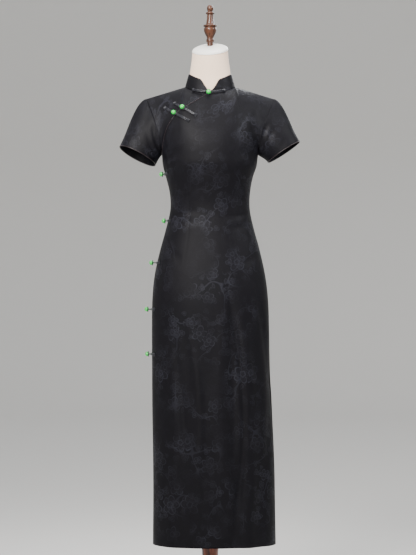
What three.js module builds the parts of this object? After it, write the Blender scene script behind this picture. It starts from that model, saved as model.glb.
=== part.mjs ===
// A long cheongsam worn by a limbless dress form on a turned wooden stand.
// Millimetres, +Z up. The dress faces -Y, so the wearer's left is at +X.
// The origin is the centre of the underside of the stand's base.

import * as THREE from "three";
import { mergeVertices } from "three/addons/utils/BufferGeometryUtils.js";

// ---- Driving dimensions ------------------------------------------------------------

const HEM = 180; // height of the hem above the floor
const SLIT_TOP = 586; // the side seams are open below this height
const UNDERARM = 1282;
const SHOULDER_TIP = { x: 183, y: 4, z: 1441 };
const SIDE_NECK = { x: 71, y: 6, z: 1475 };
const FRONT_NECK = { y: -58, z: 1454 };
const BACK_NECK = { y: 64, z: 1490 };

const CLOTH = 1.5; // wall of the cloth
const SEAM_GAP = 0.4; // clearance between pieces that are sewn together
const TUCK = 3.4; // how far the underlap lies under the front
const OVERLAP = 0.16; // share of the half width that the underlap runs under the front
const SEAM_SHARE = SEAM_GAP / 2 / 190; // half a seam's gap, as a share of a half width
const TOP_SHARE = 1 - 0.008; // the panels stop this short of the shoulder seam
const SLIT_SPREAD = 7; // how far each edge of a slit stands off its seam at the hem
const SQUARENESS = 0.9; // 1 makes each ring of the body an ellipse, less fills its corners
const NECK_SHARE = 0.45; // share of a panel's half width at the top that is neckline
const CHEST_SLOPE_SHARE = 0.45; // how straight the chest slopes from the bust to the neck
const ARMHOLE_BULGE = 47; // how far the armhole curves to the front and to the back

const FRONT = -1;
const BACK = 1;
const RIGHT_ARM = -1; // the wearer's right
const LEFT_ARM = 1;

// Rings of the body: half-widths to the wearer's right and left of the stand's axis,
// and depths to the front and the back.
const BODY_RINGS = [
  { z: 180, right: 162, left: 186, front: 106, back: 100 },
  { z: 376, right: 162, left: 183, front: 107, back: 102 },
  { z: 586, right: 164.5, left: 175, front: 109, back: 106 },
  { z: 660, right: 165, left: 170, front: 110, back: 109 },
  { z: 785, right: 165.5, left: 168, front: 112, back: 113 },
  { z: 876, right: 164, left: 164, front: 113, back: 116 },
  { z: 944, right: 157, left: 156, front: 108, back: 111 },
  { z: 1012, right: 142, left: 141, front: 99, back: 97 },
  { z: 1066, right: 127, left: 126, front: 93, back: 85 },
  { z: 1125, right: 113, left: 113, front: 89, back: 77 },
  { z: 1171, right: 114, left: 113, front: 96, back: 82 },
  { z: 1217, right: 125, left: 121, front: 109, back: 90 },
  { z: 1250, right: 134, left: 132, front: 118, back: 96 },
  { z: 1282, right: 137, left: 136, front: 119, back: 100 },
];

// Heights of the panels' rows below the underarm.
const SKIRT_HEIGHTS = [
  180, 240, 310, 380, 450, 520, 586, 650, 720, 790, 860, 920, 970, 1015, 1060, 1110, 1165, 1215,
  1250,
];

// Long soft folds of the skirt: where each one runs, how wide and how far out it
// stands (a trough is negative), and how far it slants by its lower end.
const FOLDS = [
  { face: FRONT, x: 58, slant: 16, width: 15, out: -6, top: 950, bottom: 240 },
  { face: FRONT, x: 92, slant: 18, width: 17, out: 4, top: 900, bottom: 180 },
  { face: FRONT, x: 124, slant: 20, width: 14, out: -3, top: 800, bottom: 180 },
  { face: FRONT, x: 22, slant: 4, width: 18, out: 2.5, top: 860, bottom: 300 },
  { face: FRONT, x: -18, slant: -2, width: 16, out: -2, top: 780, bottom: 260 },
  { face: FRONT, x: -64, slant: -8, width: 20, out: -3, top: 830, bottom: 180 },
  { face: FRONT, x: -104, slant: -4, width: 18, out: 2.5, top: 760, bottom: 180 },
  { face: BACK, x: -76, slant: -10, width: 18, out: -5, top: 860, bottom: 180 },
  { face: BACK, x: -34, slant: -4, width: 20, out: 3, top: 800, bottom: 180 },
  { face: BACK, x: 20, slant: 6, width: 18, out: -3.5, top: 880, bottom: 240 },
  { face: BACK, x: 70, slant: 14, width: 20, out: 3.5, top: 820, bottom: 180 },
  { face: BACK, x: 112, slant: 16, width: 16, out: -4, top: 780, bottom: 180 },
];

// The slanting opening: at each share of the height above the underarm, how far
// across the front it has come from the wearer's right side seam (-1) to the middle (0).
const OPENING = [
  { up: 0, across: -1 },
  { up: 0.08, across: -0.885 },
  { up: 0.17, across: -0.81 },
  { up: 0.26, across: -0.738 },
  { up: 0.33, across: -0.64 },
  { up: 0.4, across: -0.53 },
  { up: 0.46, across: -0.42 },
  { up: 0.52, across: -0.338 },
  { up: 0.6, across: -0.268 },
  { up: 0.7, across: -0.193 },
  { up: 0.83, across: -0.112 },
  { up: 1, across: -0.012 },
];

// Cuffs: the outer and inner ends of each opening as seen from the front, half its
// depth from front to back, and how much higher its front edge hangs than its back.
const CUFFS = [
  { side: RIGHT_ARM, outerX: 257, outerZ: 1305, innerX: 155, innerZ: 1254, deep: 46, lift: 22 },
  { side: LEFT_ARM, outerX: 255, outerZ: 1320, innerX: 164, innerZ: 1261, deep: 45, lift: 9 },
];
const CAP_FULLNESS = 0.62; // how strongly the sleeve keeps the shoulder's slope at its cap

const COLLAR_TOP = { x: 61.2, front: -49, back: 55, frontZ: 1488, sideZ: 1510, backZ: 1522 };
const COLLAR_WALL = 2;
const COLLAR_LIFT = 1.8; // clearance between the collar and the neckline
const COLLAR_ROUND = 29; // degrees from the centre front over which the corner is rounded
const COLLAR_LEAST = 0.12; // share of the full height left at the centre front
const COLLAR_START = 1; // degrees from the centre front to the collar's edge
const PIPING_START = 2.5; // and to the end of its piping
const PIPING = 1.1; // radius of the satin piping

const BEAD = 6.6; // radius of a bead
const ARM_WIDTH = 6.4; // of a frog's doubled cord
const ARM_THICK = 2.4;
const ARM_LIFT = 1; // clearance between a frog and the panel under it

// Frogs on the chest: the bead's place and how far the arms reach on each side of it.
const CHEST_FROGS = [
  { name: "chest_upper", x: -76, z: 1408, right: 28, left: 42 },
  { name: "chest_lower", x: -98.5, z: 1394, right: 33, left: 45 },
];
const CHEST_SLOPE = 31; // degrees below the horizontal, towards the wearer's left

// Frogs down the wearer's right side: the bead's height and its distance from the seam.
const SIDE_FROGS = [
  { name: "side_1", z: 1227, out: 10.5 },
  { name: "side_2", z: 1095, out: 12.5 },
  { name: "side_3", z: 976, out: 16 },
  { name: "side_4", z: 844, out: 15 },
  { name: "side_5", z: 717, out: 13 },
];
const SIDE_ARM_SHARE = 0.15; // share of a panel's half width that a side arm runs along

// The collar's frog: the middle of its bead as degrees round from the centre front, its
// height above the seam, the half gap between its arms, and how far round they reach.
const COLLAR_FROG = { turn: -3.4, z: 1, gap: 6.9, reach: 36 };

// The form is the dress's own shape, drawn in so that it stays clear of the cloth.
const FORM_SCALE = { x: 0.935, y: 0.87 };
const FORM_DROP = 8;
const FORM_BOTTOM = 700;
const CAP_TILT = { y: 21, x: 4 }; // degrees that the neck's top leans forwards and sideways
const NECK_TOP = { z: 1578, halfWidth: 50, halfDepth: 47 };
// Rings of the neck, at shares of its height above the shoulders.
const NECK_RINGS = [
  { share: 0.22, halfWidth: 60.5, front: -48.5, back: 52 },
  { share: 0.46, halfWidth: 57, front: -46.5, back: 50 },
  { share: 0.72, halfWidth: 53, front: -47, back: 48 },
  { share: 1, halfWidth: 50, front: -47, back: 47 },
];

const CAP_HEIGHT = 15;
const FINIAL_FOOT = { z: 1593.6, top: 1602 };
const BASE = { radius: 190, thick: 26 };
const POLE = { radius: 24.5, foot: 20 };

const group = new THREE.Group();

// ---- Materials ------------------------------------------------------------

const jacquard = new THREE.MeshStandardMaterial({ color: 0x1d1c22, roughness: 0.55 });
const satin = new THREE.MeshStandardMaterial({ color: 0x1a1013, roughness: 0.35 });
const beadGreen = new THREE.MeshStandardMaterial({ color: 0x1fc447, roughness: 0.15 });
const formCloth = new THREE.MeshStandardMaterial({ color: 0xf6e8da, roughness: 0.85 });
const capWhite = new THREE.MeshStandardMaterial({ color: 0xf7f5f0, roughness: 0.5 });
const finialWood = new THREE.MeshStandardMaterial({ color: 0x5f4126, roughness: 0.25 });
const poleWood = new THREE.MeshStandardMaterial({ color: 0x7a3d2b, roughness: 0.3 });

// ---- Tools for shapes ------------------------------------------------------------

const radians = THREE.MathUtils.degToRad;
const mix = THREE.MathUtils.lerp;
const smooth = (value) => THREE.MathUtils.smoothstep(value, 0, 1);
const vector = (x, y, z) => new THREE.Vector3(x, y, z);
const range = (count) => Array.from({ length: count + 1 }, (_, i) => i / count);
const power = (value, exponent) => Math.sign(value) * Math.abs(value) ** exponent;

// One column of a table at a place between its rows, along a smooth curve.
function between(rows, key, place, column) {
  const last = rows.length - 2;
  const found = rows.findIndex((row) => row[key] > place) - 1;
  const i = found < 0 ? (place < rows[0][key] ? 0 : last) : found;
  const low = rows[i];
  const high = rows[i + 1];
  const before = rows[Math.max(i - 1, 0)];
  const after = rows[Math.min(i + 2, rows.length - 1)];
  const span = high[key] - low[key];
  const slopeLow = ((high[column] - before[column]) / (high[key] - before[key])) * span;
  const slopeHigh = ((after[column] - low[column]) / (after[key] - low[key])) * span;
  const u = THREE.MathUtils.clamp((place - low[key]) / span, 0, 1);
  const cube = 2 * low[column] - 2 * high[column] + slopeLow + slopeHigh;
  const square = 3 * high[column] - 3 * low[column] - 2 * slopeLow - slopeHigh;
  return ((cube * u + square) * u + slopeLow) * u + low[column];
}

// Outward directions of a grid of points, from their neighbours along and across it.
function gridNormals(grid, closed) {
  const rows = grid.length;
  const columns = grid[0].length;
  return grid.map((row, i) =>
    row.map((_, j) => {
      const right = closed ? row[(j + 1) % columns] : row[Math.min(j + 1, columns - 1)];
      const left = closed ? row[(j + columns - 1) % columns] : row[Math.max(j - 1, 0)];
      const along = right.clone().sub(left);
      const up = grid[Math.min(i + 1, rows - 1)][j].clone().sub(grid[Math.max(i - 1, 0)][j]);
      return along.cross(up).normalize();
    }),
  );
}

// Moves every point of a grid along its outward direction.
function moveOut(grid, distance, closed = false) {
  const normals = gridNormals(grid, closed);
  return grid.map((row, i) =>
    row.map((point, j) => point.clone().addScaledVector(normals[i][j], distance)),
  );
}

// Triangles of a grid, facing out, as an array of points.
function gridTriangles(grid, closed = false) {
  const columns = grid[0].length;
  const points = [];
  for (let i = 0; i + 1 < grid.length; i++) {
    for (let j = 0; j + (closed ? 0 : 1) < columns; j++) {
      const k = (j + 1) % columns;
      points.push(grid[i][j], grid[i][k], grid[i + 1][k]);
      points.push(grid[i][j], grid[i + 1][k], grid[i + 1][j]);
    }
  }
  return points;
}

// A geometry from loose triangles, its shared points merged and flat slivers dropped.
function geometryOf(points) {
  const loose = new THREE.BufferGeometry().setFromPoints(points);
  const merged = mergeVertices(loose, 1e-3);
  const kept = [];
  const index = merged.index.array;
  for (let i = 0; i < index.length; i += 3) {
    const [a, b, c] = [index[i], index[i + 1], index[i + 2]];
    if (a !== b && b !== c && c !== a) kept.push(a, b, c);
  }
  merged.setIndex(kept);
  merged.computeVertexNormals();
  return merged;
}

// A wall of cloth: the grid is its outer face, and the inner one lies a thickness in.
function wall(grid, thickness, closed = false) {
  const inner = moveOut(grid, -thickness, closed);
  const outside = gridTriangles(grid, closed);
  const inside = gridTriangles(inner, closed).reverse();
  const bottom = gridTriangles([inner[0], grid[0]], closed);
  const top = gridTriangles([grid.at(-1), inner.at(-1)], closed);
  const points = [...outside, ...inside, ...bottom, ...top];
  if (!closed) {
    const edge = (from, column) => from.map((row) => row.at(column));
    points.push(...gridTriangles([edge(inner, 0), edge(grid, 0)]).reverse());
    points.push(...gridTriangles([edge(grid, -1), edge(inner, -1)]).reverse());
  }
  return geometryOf(points);
}

// A round cord along a list of points.
function cord(points, radius, steps, sides = 6) {
  const corners = range(sides).slice(1);
  const ring = corners.map((share) => {
    const angle = share * 2 * Math.PI;
    return new THREE.Vector2(radius * Math.cos(angle), radius * Math.sin(angle));
  });
  const path = new THREE.CatmullRomCurve3(points);
  const options = { steps, extrudePath: path, bevelEnabled: false };
  return new THREE.ExtrudeGeometry(new THREE.Shape(ring), options);
}

// A turned piece, from radii and heights; its profile starts and ends on the axis.
function turned(profile, sides) {
  const points = profile.map(([radius, z]) => new THREE.Vector2(radius, z));
  return new THREE.LatheGeometry(points, sides).rotateX(Math.PI / 2);
}

function add(name, geometry, material) {
  const mesh = new THREE.Mesh(geometry, material);
  mesh.name = name;
  group.add(mesh);
  return mesh;
}

// ---- The dress's form ------------------------------------------------------------

// How far the folds push the skirt out at a place.
function foldAt(x, z, face) {
  let out = 0;
  for (const fold of FOLDS) {
    if (fold.face !== face) continue;
    const middle = mix(fold.x + fold.slant, fold.x, (z - HEM) / (fold.top - HEM));
    const across = (x - middle) / fold.width;
    const fadeIn = smooth((fold.top - z) / 220);
    const fadeOut = fold.bottom > HEM ? mix(0.35, 1, smooth((z - fold.bottom) / 160)) : 1;
    out += fold.out * fadeIn * fadeOut * Math.exp(-across * across);
  }
  return out;
}

// A point below the underarm. Across runs from -1 at the wearer's right side seam to
// 1 at the left one, and each ring's half is a superellipse.
function skirtPoint(across, z, face, folded = true) {
  const angle = (across * Math.PI) / 2;
  const width = between(BODY_RINGS, "z", z, across < 0 ? "right" : "left");
  const depth = between(BODY_RINGS, "z", z, face === FRONT ? "front" : "back");
  const x = width * power(Math.sin(angle), SQUARENESS);
  const y = face * depth * power(Math.cos(angle), SQUARENESS);
  const point = vector(x, y, z);
  if (!folded) return point;
  const outward = vector(x / width ** 2, y / depth ** 2, 0).normalize();
  point.addScaledVector(outward, foldAt(x, z, face));
  const open = THREE.MathUtils.clamp((SLIT_TOP - z) / (SLIT_TOP - HEM), 0, 1);
  point.y += face * SLIT_SPREAD * open * Math.abs(across) ** 6;
  return point;
}

// The neckline's ring, from 0 at the centre front or back to 1 at the side.
function necklinePoint(turn, face) {
  const angle = (turn * Math.PI) / 2;
  const middle = face === FRONT ? FRONT_NECK : BACK_NECK;
  const near = Math.cos(angle);
  const x = SIDE_NECK.x * Math.sin(angle);
  const y = mix(SIDE_NECK.y, middle.y, near);
  const z = mix(SIDE_NECK.z, middle.z, near ** 1.4);
  return vector(x, y, z);
}

// The upper edge of a panel: the neckline and then the shoulder seam.
function topPoint(across, face) {
  const turn = across / NECK_SHARE;
  if (Math.abs(turn) <= 1) return necklinePoint(turn, face);
  const share = (Math.abs(across) - NECK_SHARE) / (1 - NECK_SHARE);
  const x = Math.sign(across) * mix(SIDE_NECK.x, SHOULDER_TIP.x, share);
  const y = mix(SIDE_NECK.y, SHOULDER_TIP.y, share);
  return vector(x, y, mix(SIDE_NECK.z, SHOULDER_TIP.z, share));
}

// The armhole, from the underarm (0) to the shoulder tip (1).
function armholePoint(up, side, face) {
  const start = skirtPoint(side, UNDERARM, face, false);
  const x = mix(start.x, side * SHOULDER_TIP.x, up ** 1.9);
  const y = SHOULDER_TIP.y * up + face * ARMHOLE_BULGE * Math.sin(Math.PI * up ** 0.9) ** 0.8;
  return vector(x, y, mix(UNDERARM, SHOULDER_TIP.z, up ** 1.25));
}

// A point above the underarm: each column bends back from the chest to the top edge
// as part of an ellipse, and the columns by the arm follow the armhole.
function chestPoint(across, up, face) {
  const bottom = skirtPoint(across, UNDERARM, face, false);
  const top = topPoint(across, face);
  const nearNeck = 1 - smooth(Math.abs(across) / NECK_SHARE);
  const lean = radians(mix(88, 62, nearNeck));
  const rise = Math.sin(up * lean) / Math.sin(lean);
  const round = (1 - Math.cos(up * lean)) / (1 - Math.cos(lean));
  const bend = mix(round, rise, nearNeck * CHEST_SLOPE_SHARE * smooth(up / 0.6));
  const column = vector(
    mix(bottom.x, top.x, up ** 1.6),
    mix(bottom.y, top.y, bend),
    mix(bottom.z, top.z, rise),
  );
  const nearArm = across ** 4;
  if (nearArm < 1e-6) return column;
  const side = Math.sign(across);
  const edge = chestEdge(side, up, face);
  return column.addScaledVector(edge, nearArm);
}

// How far the armhole lies from the bent column at the same height.
function chestEdge(side, up, face) {
  const bottom = skirtPoint(side, UNDERARM, face, false);
  const lean = radians(88);
  const bend = (1 - Math.cos(up * lean)) / (1 - Math.cos(lean));
  const rise = Math.sin(up * lean) / Math.sin(lean);
  const column = vector(
    mix(bottom.x, side * SHOULDER_TIP.x, up ** 1.6),
    mix(bottom.y, SHOULDER_TIP.y, bend),
    mix(bottom.z, SHOULDER_TIP.z, rise),
  );
  return armholePoint(up, side, face).sub(column);
}

const openingAcross = (up) => between(OPENING, "up", up, "across");

// Heights of a panel's rows above the underarm, closer together towards both ends.
const chestRows = (count) =>
  range(count).map((share) => mix(share, (1 - Math.cos(Math.PI * share)) / 2, 0.55));

// Where the underlap ends under the front, with less to spare at the neck.
const underlapEnd = (up) => openingAcross(up) + OVERLAP * (1 - 0.8 * up ** 4);

// ---- Panels ------------------------------------------------------------

// The front, cut away along the opening above the underarm.
function frontPanel(columns, rows) {
  const edge = 1 - SEAM_SHARE;
  const skirt = SKIRT_HEIGHTS.map((z) =>
    range(columns).map((share) => skirtPoint(mix(-edge, edge, share), z, FRONT)),
  );
  const chest = chestRows(rows).map((up) => {
    const start = Math.max(openingAcross(up), -edge);
    return range(columns).map((share) =>
      chestPoint(mix(start, edge, share), up * TOP_SHARE, FRONT),
    );
  });
  return [...skirt, ...chest];
}

// The small front under the opening, set in where the front lies over it.
function underlapPanel(columns, rows) {
  const heights = chestRows(rows);
  const acrossAt = (up, share) => mix(-1 + SEAM_SHARE, underlapEnd(up), share);
  const grid = heights.map((up) =>
    range(columns).map((share) => chestPoint(acrossAt(up, share), up * TOP_SHARE, FRONT)),
  );
  const normals = gridNormals(grid, false);
  return grid.map((row, i) => {
    const opening = openingAcross(heights[i]);
    return row.map((point, j) => {
      const across = acrossAt(heights[i], j / columns);
      const depth = TUCK * smooth((across - opening + 0.4) / 0.3);
      return point.clone().addScaledVector(normals[i][j], -depth);
    });
  });
}

function backPanel(columns, rows) {
  const edge = 1 - SEAM_SHARE;
  const line = (place) => range(columns).map((share) => place(mix(edge, -edge, share)));
  const skirt = SKIRT_HEIGHTS.map((z) => line((across) => skirtPoint(across, z, BACK)));
  const chest = range(rows).map((up) =>
    line((across) => chestPoint(across, up * TOP_SHARE, BACK)),
  );
  return [...skirt, ...chest];
}

add("front_panel", wall(frontPanel(22, 14), CLOTH), jacquard);
add("underlap_panel", wall(underlapPanel(10, 14), CLOTH), jacquard);
add("back_panel", wall(backPanel(18, 7), CLOTH), jacquard);

// ---- Sleeves ------------------------------------------------------------

// Where a sleeve's ring starts on the armhole, and where it ends on the cuff. The turn
// runs once round, from the shoulder tip by the front and the underarm to the back.
function sleeveEnds(turn, cuff) {
  const face = turn < 0.5 ? FRONT : BACK;
  const up = Math.abs(1 - 2 * turn);
  const start = armholePoint(up, cuff.side, face);
  const outer = vector(cuff.side * cuff.outerX, 0, cuff.outerZ);
  const inner = vector(cuff.side * cuff.innerX, 0, cuff.innerZ);
  const middle = outer.clone().add(inner).multiplyScalar(0.5);
  const across = outer.clone().sub(middle);
  const deep = vector(0, -cuff.deep, cuff.lift / 2);
  const angle = turn * 2 * Math.PI;
  const end = middle.addScaledVector(across, Math.cos(angle));
  end.addScaledVector(deep, Math.sin(angle));
  const away = vector(-across.z, 0, across.x).multiplyScalar(-cuff.side).normalize();
  return { start, end, away };
}

// Each line of the sleeve leaves the armhole with the shoulder's slope at the top, or
// straight out at the underarm, and arrives square to the cuff.
function sleevePoint(turn, along, cuff) {
  const { start, end, away } = sleeveEnds(turn, cuff);
  const chord = start.distanceTo(end);
  const top = (1 + Math.cos(turn * 2 * Math.PI)) / 2;
  const leave = vector(cuff.side, 0, mix(-0.9, -0.34, top)).normalize();
  const from = start.clone().addScaledVector(leave, 2 * SEAM_GAP);
  const curve = new THREE.CubicBezierCurve3(
    from,
    from.clone().addScaledVector(leave, (chord * CAP_FULLNESS) / 3),
    end.clone().addScaledVector(away, -chord / 3),
    end,
  );
  return curve.getPoint(along);
}

function sleeveGrid(cuff, columns, rows) {
  const turns = range(columns).slice(0, -1);
  if (cuff.side === RIGHT_ARM) turns.reverse();
  return range(rows).map((along) => turns.map((turn) => sleevePoint(turn, along, cuff)));
}

for (const cuff of CUFFS) {
  const name = cuff.side === RIGHT_ARM ? "right" : "left";
  add(`sleeve_${name}`, wall(sleeveGrid(cuff, 22, 6), CLOTH, true), jacquard);
  const rim = range(28).map((share) => {
    const turn = 0.5 + mix(0.002, 0.998, share);
    const edge = sleevePoint(turn % 1, 1, cuff);
    return edge.addScaledVector(sleeveEnds(turn % 1, cuff).away, PIPING + 0.35);
  });
  add(`cuff_piping_${name}`, cord(rim, PIPING, 24, 5), satin);
}

// ---- Collar ------------------------------------------------------------

// A point of the collar: turn is in degrees from the centre front, and up is a share
// of its full height. It leans in from the neckline to its top ring.
function collarPoint(turn, up) {
  const angle = radians(turn);
  const near = -Math.cos(angle);
  const face = near < 0 ? FRONT : BACK;
  const fromMiddle = Math.asin(Math.abs(Math.sin(angle))) / (Math.PI / 2);
  const base = necklinePoint(fromMiddle, face);
  base.x *= Math.sign(Math.sin(angle)) || 1;
  base.z += COLLAR_LIFT;
  const topY = Math.abs(near) * (face === FRONT ? COLLAR_TOP.front : COLLAR_TOP.back);
  const middleZ = face === FRONT ? COLLAR_TOP.frontZ : COLLAR_TOP.backZ;
  const topX = COLLAR_TOP.x * Math.sin(angle);
  const topZ = mix(COLLAR_TOP.sideZ, middleZ, near ** 2);
  return base.lerp(vector(topX, topY, topZ), up);
}

// The share of the full height that the collar has, rounded away at the centre front.
function collarHeight(turn) {
  const fromFront = Math.min(Math.min(turn, 360 - turn) / COLLAR_ROUND, 1);
  return mix(COLLAR_LEAST, 1, smooth(fromFront));
}

const collarTurns = [
  COLLAR_START, 4, 7, 10, 13, 17, 21, 26, 32, 41, 53, 68, 84, 100, 116, 132, 148, 164, 180,
];
const otherTurns = collarTurns.slice(0, -1).reverse().map((turn) => 360 - turn);
const collarRound = [...collarTurns, ...otherTurns];
const collarGrid = range(3).map((up) =>
  collarRound.map((turn) => collarPoint(turn, up * collarHeight(turn))),
);
add("collar", wall(collarGrid, COLLAR_WALL), jacquard);

// The piping stands on the collar's edge, in line with the middle of its wall.
function collarRim(count) {
  return range(count).map((share) => {
    const eased = share + Math.sin(4 * Math.PI * share) * -0.02;
    const turn = mix(PIPING_START, 360 - PIPING_START, eased);
    const edge = collarPoint(turn, collarHeight(turn));
    const step = turn < 180 ? 1 : -1;
    const next = collarPoint(turn + step, collarHeight(turn + step));
    const below = collarPoint(turn, collarHeight(turn) - 0.1);
    const along = next.sub(edge).normalize();
    const rise = edge.clone().sub(below);
    rise.addScaledVector(along, -rise.dot(along)).normalize();
    const inward = vector(-edge.x, -edge.y, 0).normalize();
    return edge.addScaledVector(rise, PIPING + 0.4).addScaledVector(inward, COLLAR_WALL / 2);
  });
}
add("collar_piping", cord(collarRim(44), PIPING, 46, 5), satin);

// ---- Piping of the opening ------------------------------------------------------------

// It runs down the front's cut edge from the neck to the underarm.
function openingRim(count) {
  return chestRows(count).slice(1, -1).map((up) => {
    const across = openingAcross(up);
    const edge = chestPoint(across, up * TOP_SHARE, FRONT);
    const within = chestPoint(across + 0.03, up * TOP_SHARE, FRONT);
    const further = chestPoint(openingAcross(up + 0.01), (up + 0.01) * TOP_SHARE, FRONT);
    const along = further.sub(edge).normalize();
    const out = edge.clone().sub(within);
    out.addScaledVector(along, -out.dot(along)).normalize();
    const inward = out.clone().cross(along).normalize();
    if (inward.y < 0) inward.negate();
    return edge.addScaledVector(out, PIPING + 1).addScaledVector(inward, CLOTH / 2);
  });
}
add("opening_piping", cord(openingRim(14), PIPING, 30), satin);

// ---- Frogs ------------------------------------------------------------

// The place on the chest that is seen at x and z from the front.
function chestAt(x, z) {
  let across = x / 150;
  let up = (z - UNDERARM) / 180;
  const small = 1e-3;
  for (let i = 0; i < 30; i++) {
    const here = chestPoint(across, up, FRONT);
    const byAcross = chestPoint(across + small, up, FRONT).sub(here).divideScalar(small);
    const byUp = chestPoint(across, up + small, FRONT).sub(here).divideScalar(small);
    const cross = byAcross.x * byUp.z - byAcross.z * byUp.x;
    const missX = x - here.x;
    const missZ = z - here.z;
    across += (missX * byUp.z - missZ * byUp.x) / cross;
    up += (missZ * byAcross.x - missX * byAcross.z) / cross;
  }
  const here = chestPoint(across, up, FRONT);
  const byAcross = chestPoint(across + small, up, FRONT).sub(here);
  const byUp = chestPoint(across, up + small, FRONT).sub(here);
  return { point: here, out: byAcross.cross(byUp).normalize() };
}

function bead(name, centre) {
  const ball = new THREE.SphereGeometry(BEAD, 10, 7);
  add(`frog_${name}_bead`, ball, beadGreen).position.copy(centre);
}

// A flat doubled cord: a strip whose outer face is the grid.
const arm = (name, grid) => add(`frog_${name}`, wall(grid, ARM_THICK), satin);

// A straight arm on the chest, from one distance to another along the slope.
function chestArm(frog, from, to) {
  const slope = radians(CHEST_SLOPE);
  return [-1, 0, 1].map((edge) =>
    range(5).map((share) => {
      const along = mix(from, to, share);
      const offset = (edge * ARM_WIDTH) / 2;
      const x = frog.x + along * Math.cos(slope) + offset * Math.sin(slope);
      const z = frog.z - along * Math.sin(slope) + offset * Math.cos(slope);
      const { point, out } = chestAt(x, z);
      return point.addScaledVector(out, ARM_LIFT + ARM_THICK);
    }),
  );
}

for (const frog of CHEST_FROGS) {
  const start = BEAD + 0.4;
  arm(`${frog.name}_arm_a`, chestArm(frog, -frog.right, -start));
  arm(`${frog.name}_arm_b`, chestArm(frog, start, frog.left));
  const { point, out } = chestAt(frog.x, frog.z);
  bead(frog.name, point.addScaledVector(out, ARM_LIFT + BEAD + 0.3));
}

// The collar's frog lies along the neck seam, and its lower edge stands out over the
// slope of the chest.
function collarArm(from, to) {
  return [-1, 0, 1].map((edge) =>
    range(6).map((share) => {
      const around = (mix(from, to, share) + 360) % 360;
      const base = collarPoint(around, 0);
      const out = vector(base.x, base.y, 0).normalize();
      base.z += COLLAR_FROG.z + (edge * ARM_WIDTH) / 2;
      return base.addScaledVector(out, ARM_LIFT + ARM_THICK + (1 - edge) * 1.1);
    }),
  );
}
const { turn: frogTurn, gap: frogGap, reach: frogReach } = COLLAR_FROG;
arm("collar_arm_a", collarArm(-frogReach, frogTurn - frogGap));
arm("collar_arm_b", collarArm(frogTurn + frogGap, frogReach));
const collarBead = collarPoint(360 + frogTurn, 0);
bead("collar", vector(collarBead.x, collarBead.y - BEAD - ARM_LIFT - 1.6, collarBead.z - 1));

// An arm of a side frog runs along its panel to the side seam, and then turns out to
// hold the bead.
function sideArm(frog, face) {
  const reach = frog.out - BEAD - 0.5;
  const lift = ARM_LIFT + ARM_THICK;
  const stem = face * (SEAM_GAP + ARM_THICK);
  return [-1, 0, 1].map((edge) => {
    const z = frog.z + (edge * ARM_WIDTH) / 2;
    const seam = skirtPoint(-1, z, face);
    const shares = [1, 0.75, 0.5, 0.3].map((share) => -1 + SIDE_ARM_SHARE * share);
    const laid = shares.map((across) => {
      const point = skirtPoint(across, z, face);
      const width = Math.abs(seam.x);
      const out = vector(point.x / width ** 2, point.y / 100 ** 2, 0).normalize();
      return point.addScaledVector(out, lift);
    });
    const corner = vector(seam.x - lift, stem * 1.2, z);
    const tip = vector(seam.x - Math.max(reach, lift + 0.8), stem, z);
    const path = [...laid, corner, tip];
    return face === FRONT ? path.reverse() : path;
  });
}

for (const frog of SIDE_FROGS) {
  arm(`${frog.name}_arm_a`, sideArm(frog, FRONT));
  arm(`${frog.name}_arm_b`, sideArm(frog, BACK));
  const seam = skirtPoint(-1, frog.z, FRONT);
  bead(frog.name, vector(seam.x - frog.out, 0, frog.z));
}

// ---- The dress form ------------------------------------------------------------

// How much higher than its middle the neck's leaning top is.
const tiltAt = (x, y) => x * Math.tan(radians(CAP_TILT.x)) + y * Math.tan(radians(CAP_TILT.y));

// Slides every point of a turned piece up or down to the slope of the neck's top.
function sloped(geometry, shareAt) {
  const place = geometry.getAttribute("position");
  for (let i = 0; i < place.count; i++) {
    const z = place.getZ(i);
    place.setZ(i, z + tiltAt(place.getX(i), place.getY(i)) * shareAt(z));
  }
  return geometry;
}

// The dress's own point, drawn in.
function formPoint(point) {
  return vector(point.x * FORM_SCALE.x, point.y * FORM_SCALE.y, point.z - FORM_DROP);
}

// Places across a panel: evenly along each shoulder and along the neckline.
const formShares = [
  ...range(5).map((share) => mix(-1, -NECK_SHARE, share)),
  ...range(8).slice(1, -1).map((share) => mix(-NECK_SHARE, NECK_SHARE, share)),
  ...range(5).map((share) => mix(NECK_SHARE, 1, share)),
];

function formTorso() {
  const faces = [FRONT, BACK];
  const places = (face) => (face === FRONT ? formShares : [...formShares].reverse());
  const heights = [707, 790, 860, 920, 980, 1040, 1090, 1140, 1190, 1240, UNDERARM];
  const lower = heights.map((z) => {
    const halves = faces.map((face) =>
      places(face).map((across) => formPoint(skirtPoint(across, z, face, false))),
    );
    return [...halves[0].slice(0, -1), ...halves[1].slice(0, -1)];
  });
  const upper = faces.map((face) =>
    range(7).map((up) => places(face).map((across) => formPoint(chestPoint(across, up, face)))),
  );
  const plates = [LEFT_ARM, RIGHT_ARM].map((side) => armPlate(side, 7, 3));
  const neck = neckGrid(8);
  const bottom = fan(lower[0], vector(0, 0, FORM_BOTTOM), true);
  const top = fan(neck.at(-1), vector(0, 0, NECK_TOP.z), false);
  const points = [gridTriangles(lower, true), ...upper.map((grid) => gridTriangles(grid))];
  points.push(...plates, gridTriangles(neck, true), bottom, top);
  return geometryOf(points.flat());
}

// The flat plate that closes an armhole of the form.
function armPlate(side, rows, columns) {
  const order = side === LEFT_ARM ? [FRONT, BACK] : [BACK, FRONT];
  const grid = range(rows).map((up) => {
    const [from, to] = order.map((face) => formPoint(armholePoint(up, side, face)));
    return range(columns).map((share) => {
      const point = from.clone().lerp(to, share);
      point.x += side * 2.5 * Math.sin(Math.PI * share) * Math.sin(Math.PI * up);
      return point;
    });
  });
  return gridTriangles(grid);
}

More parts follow.
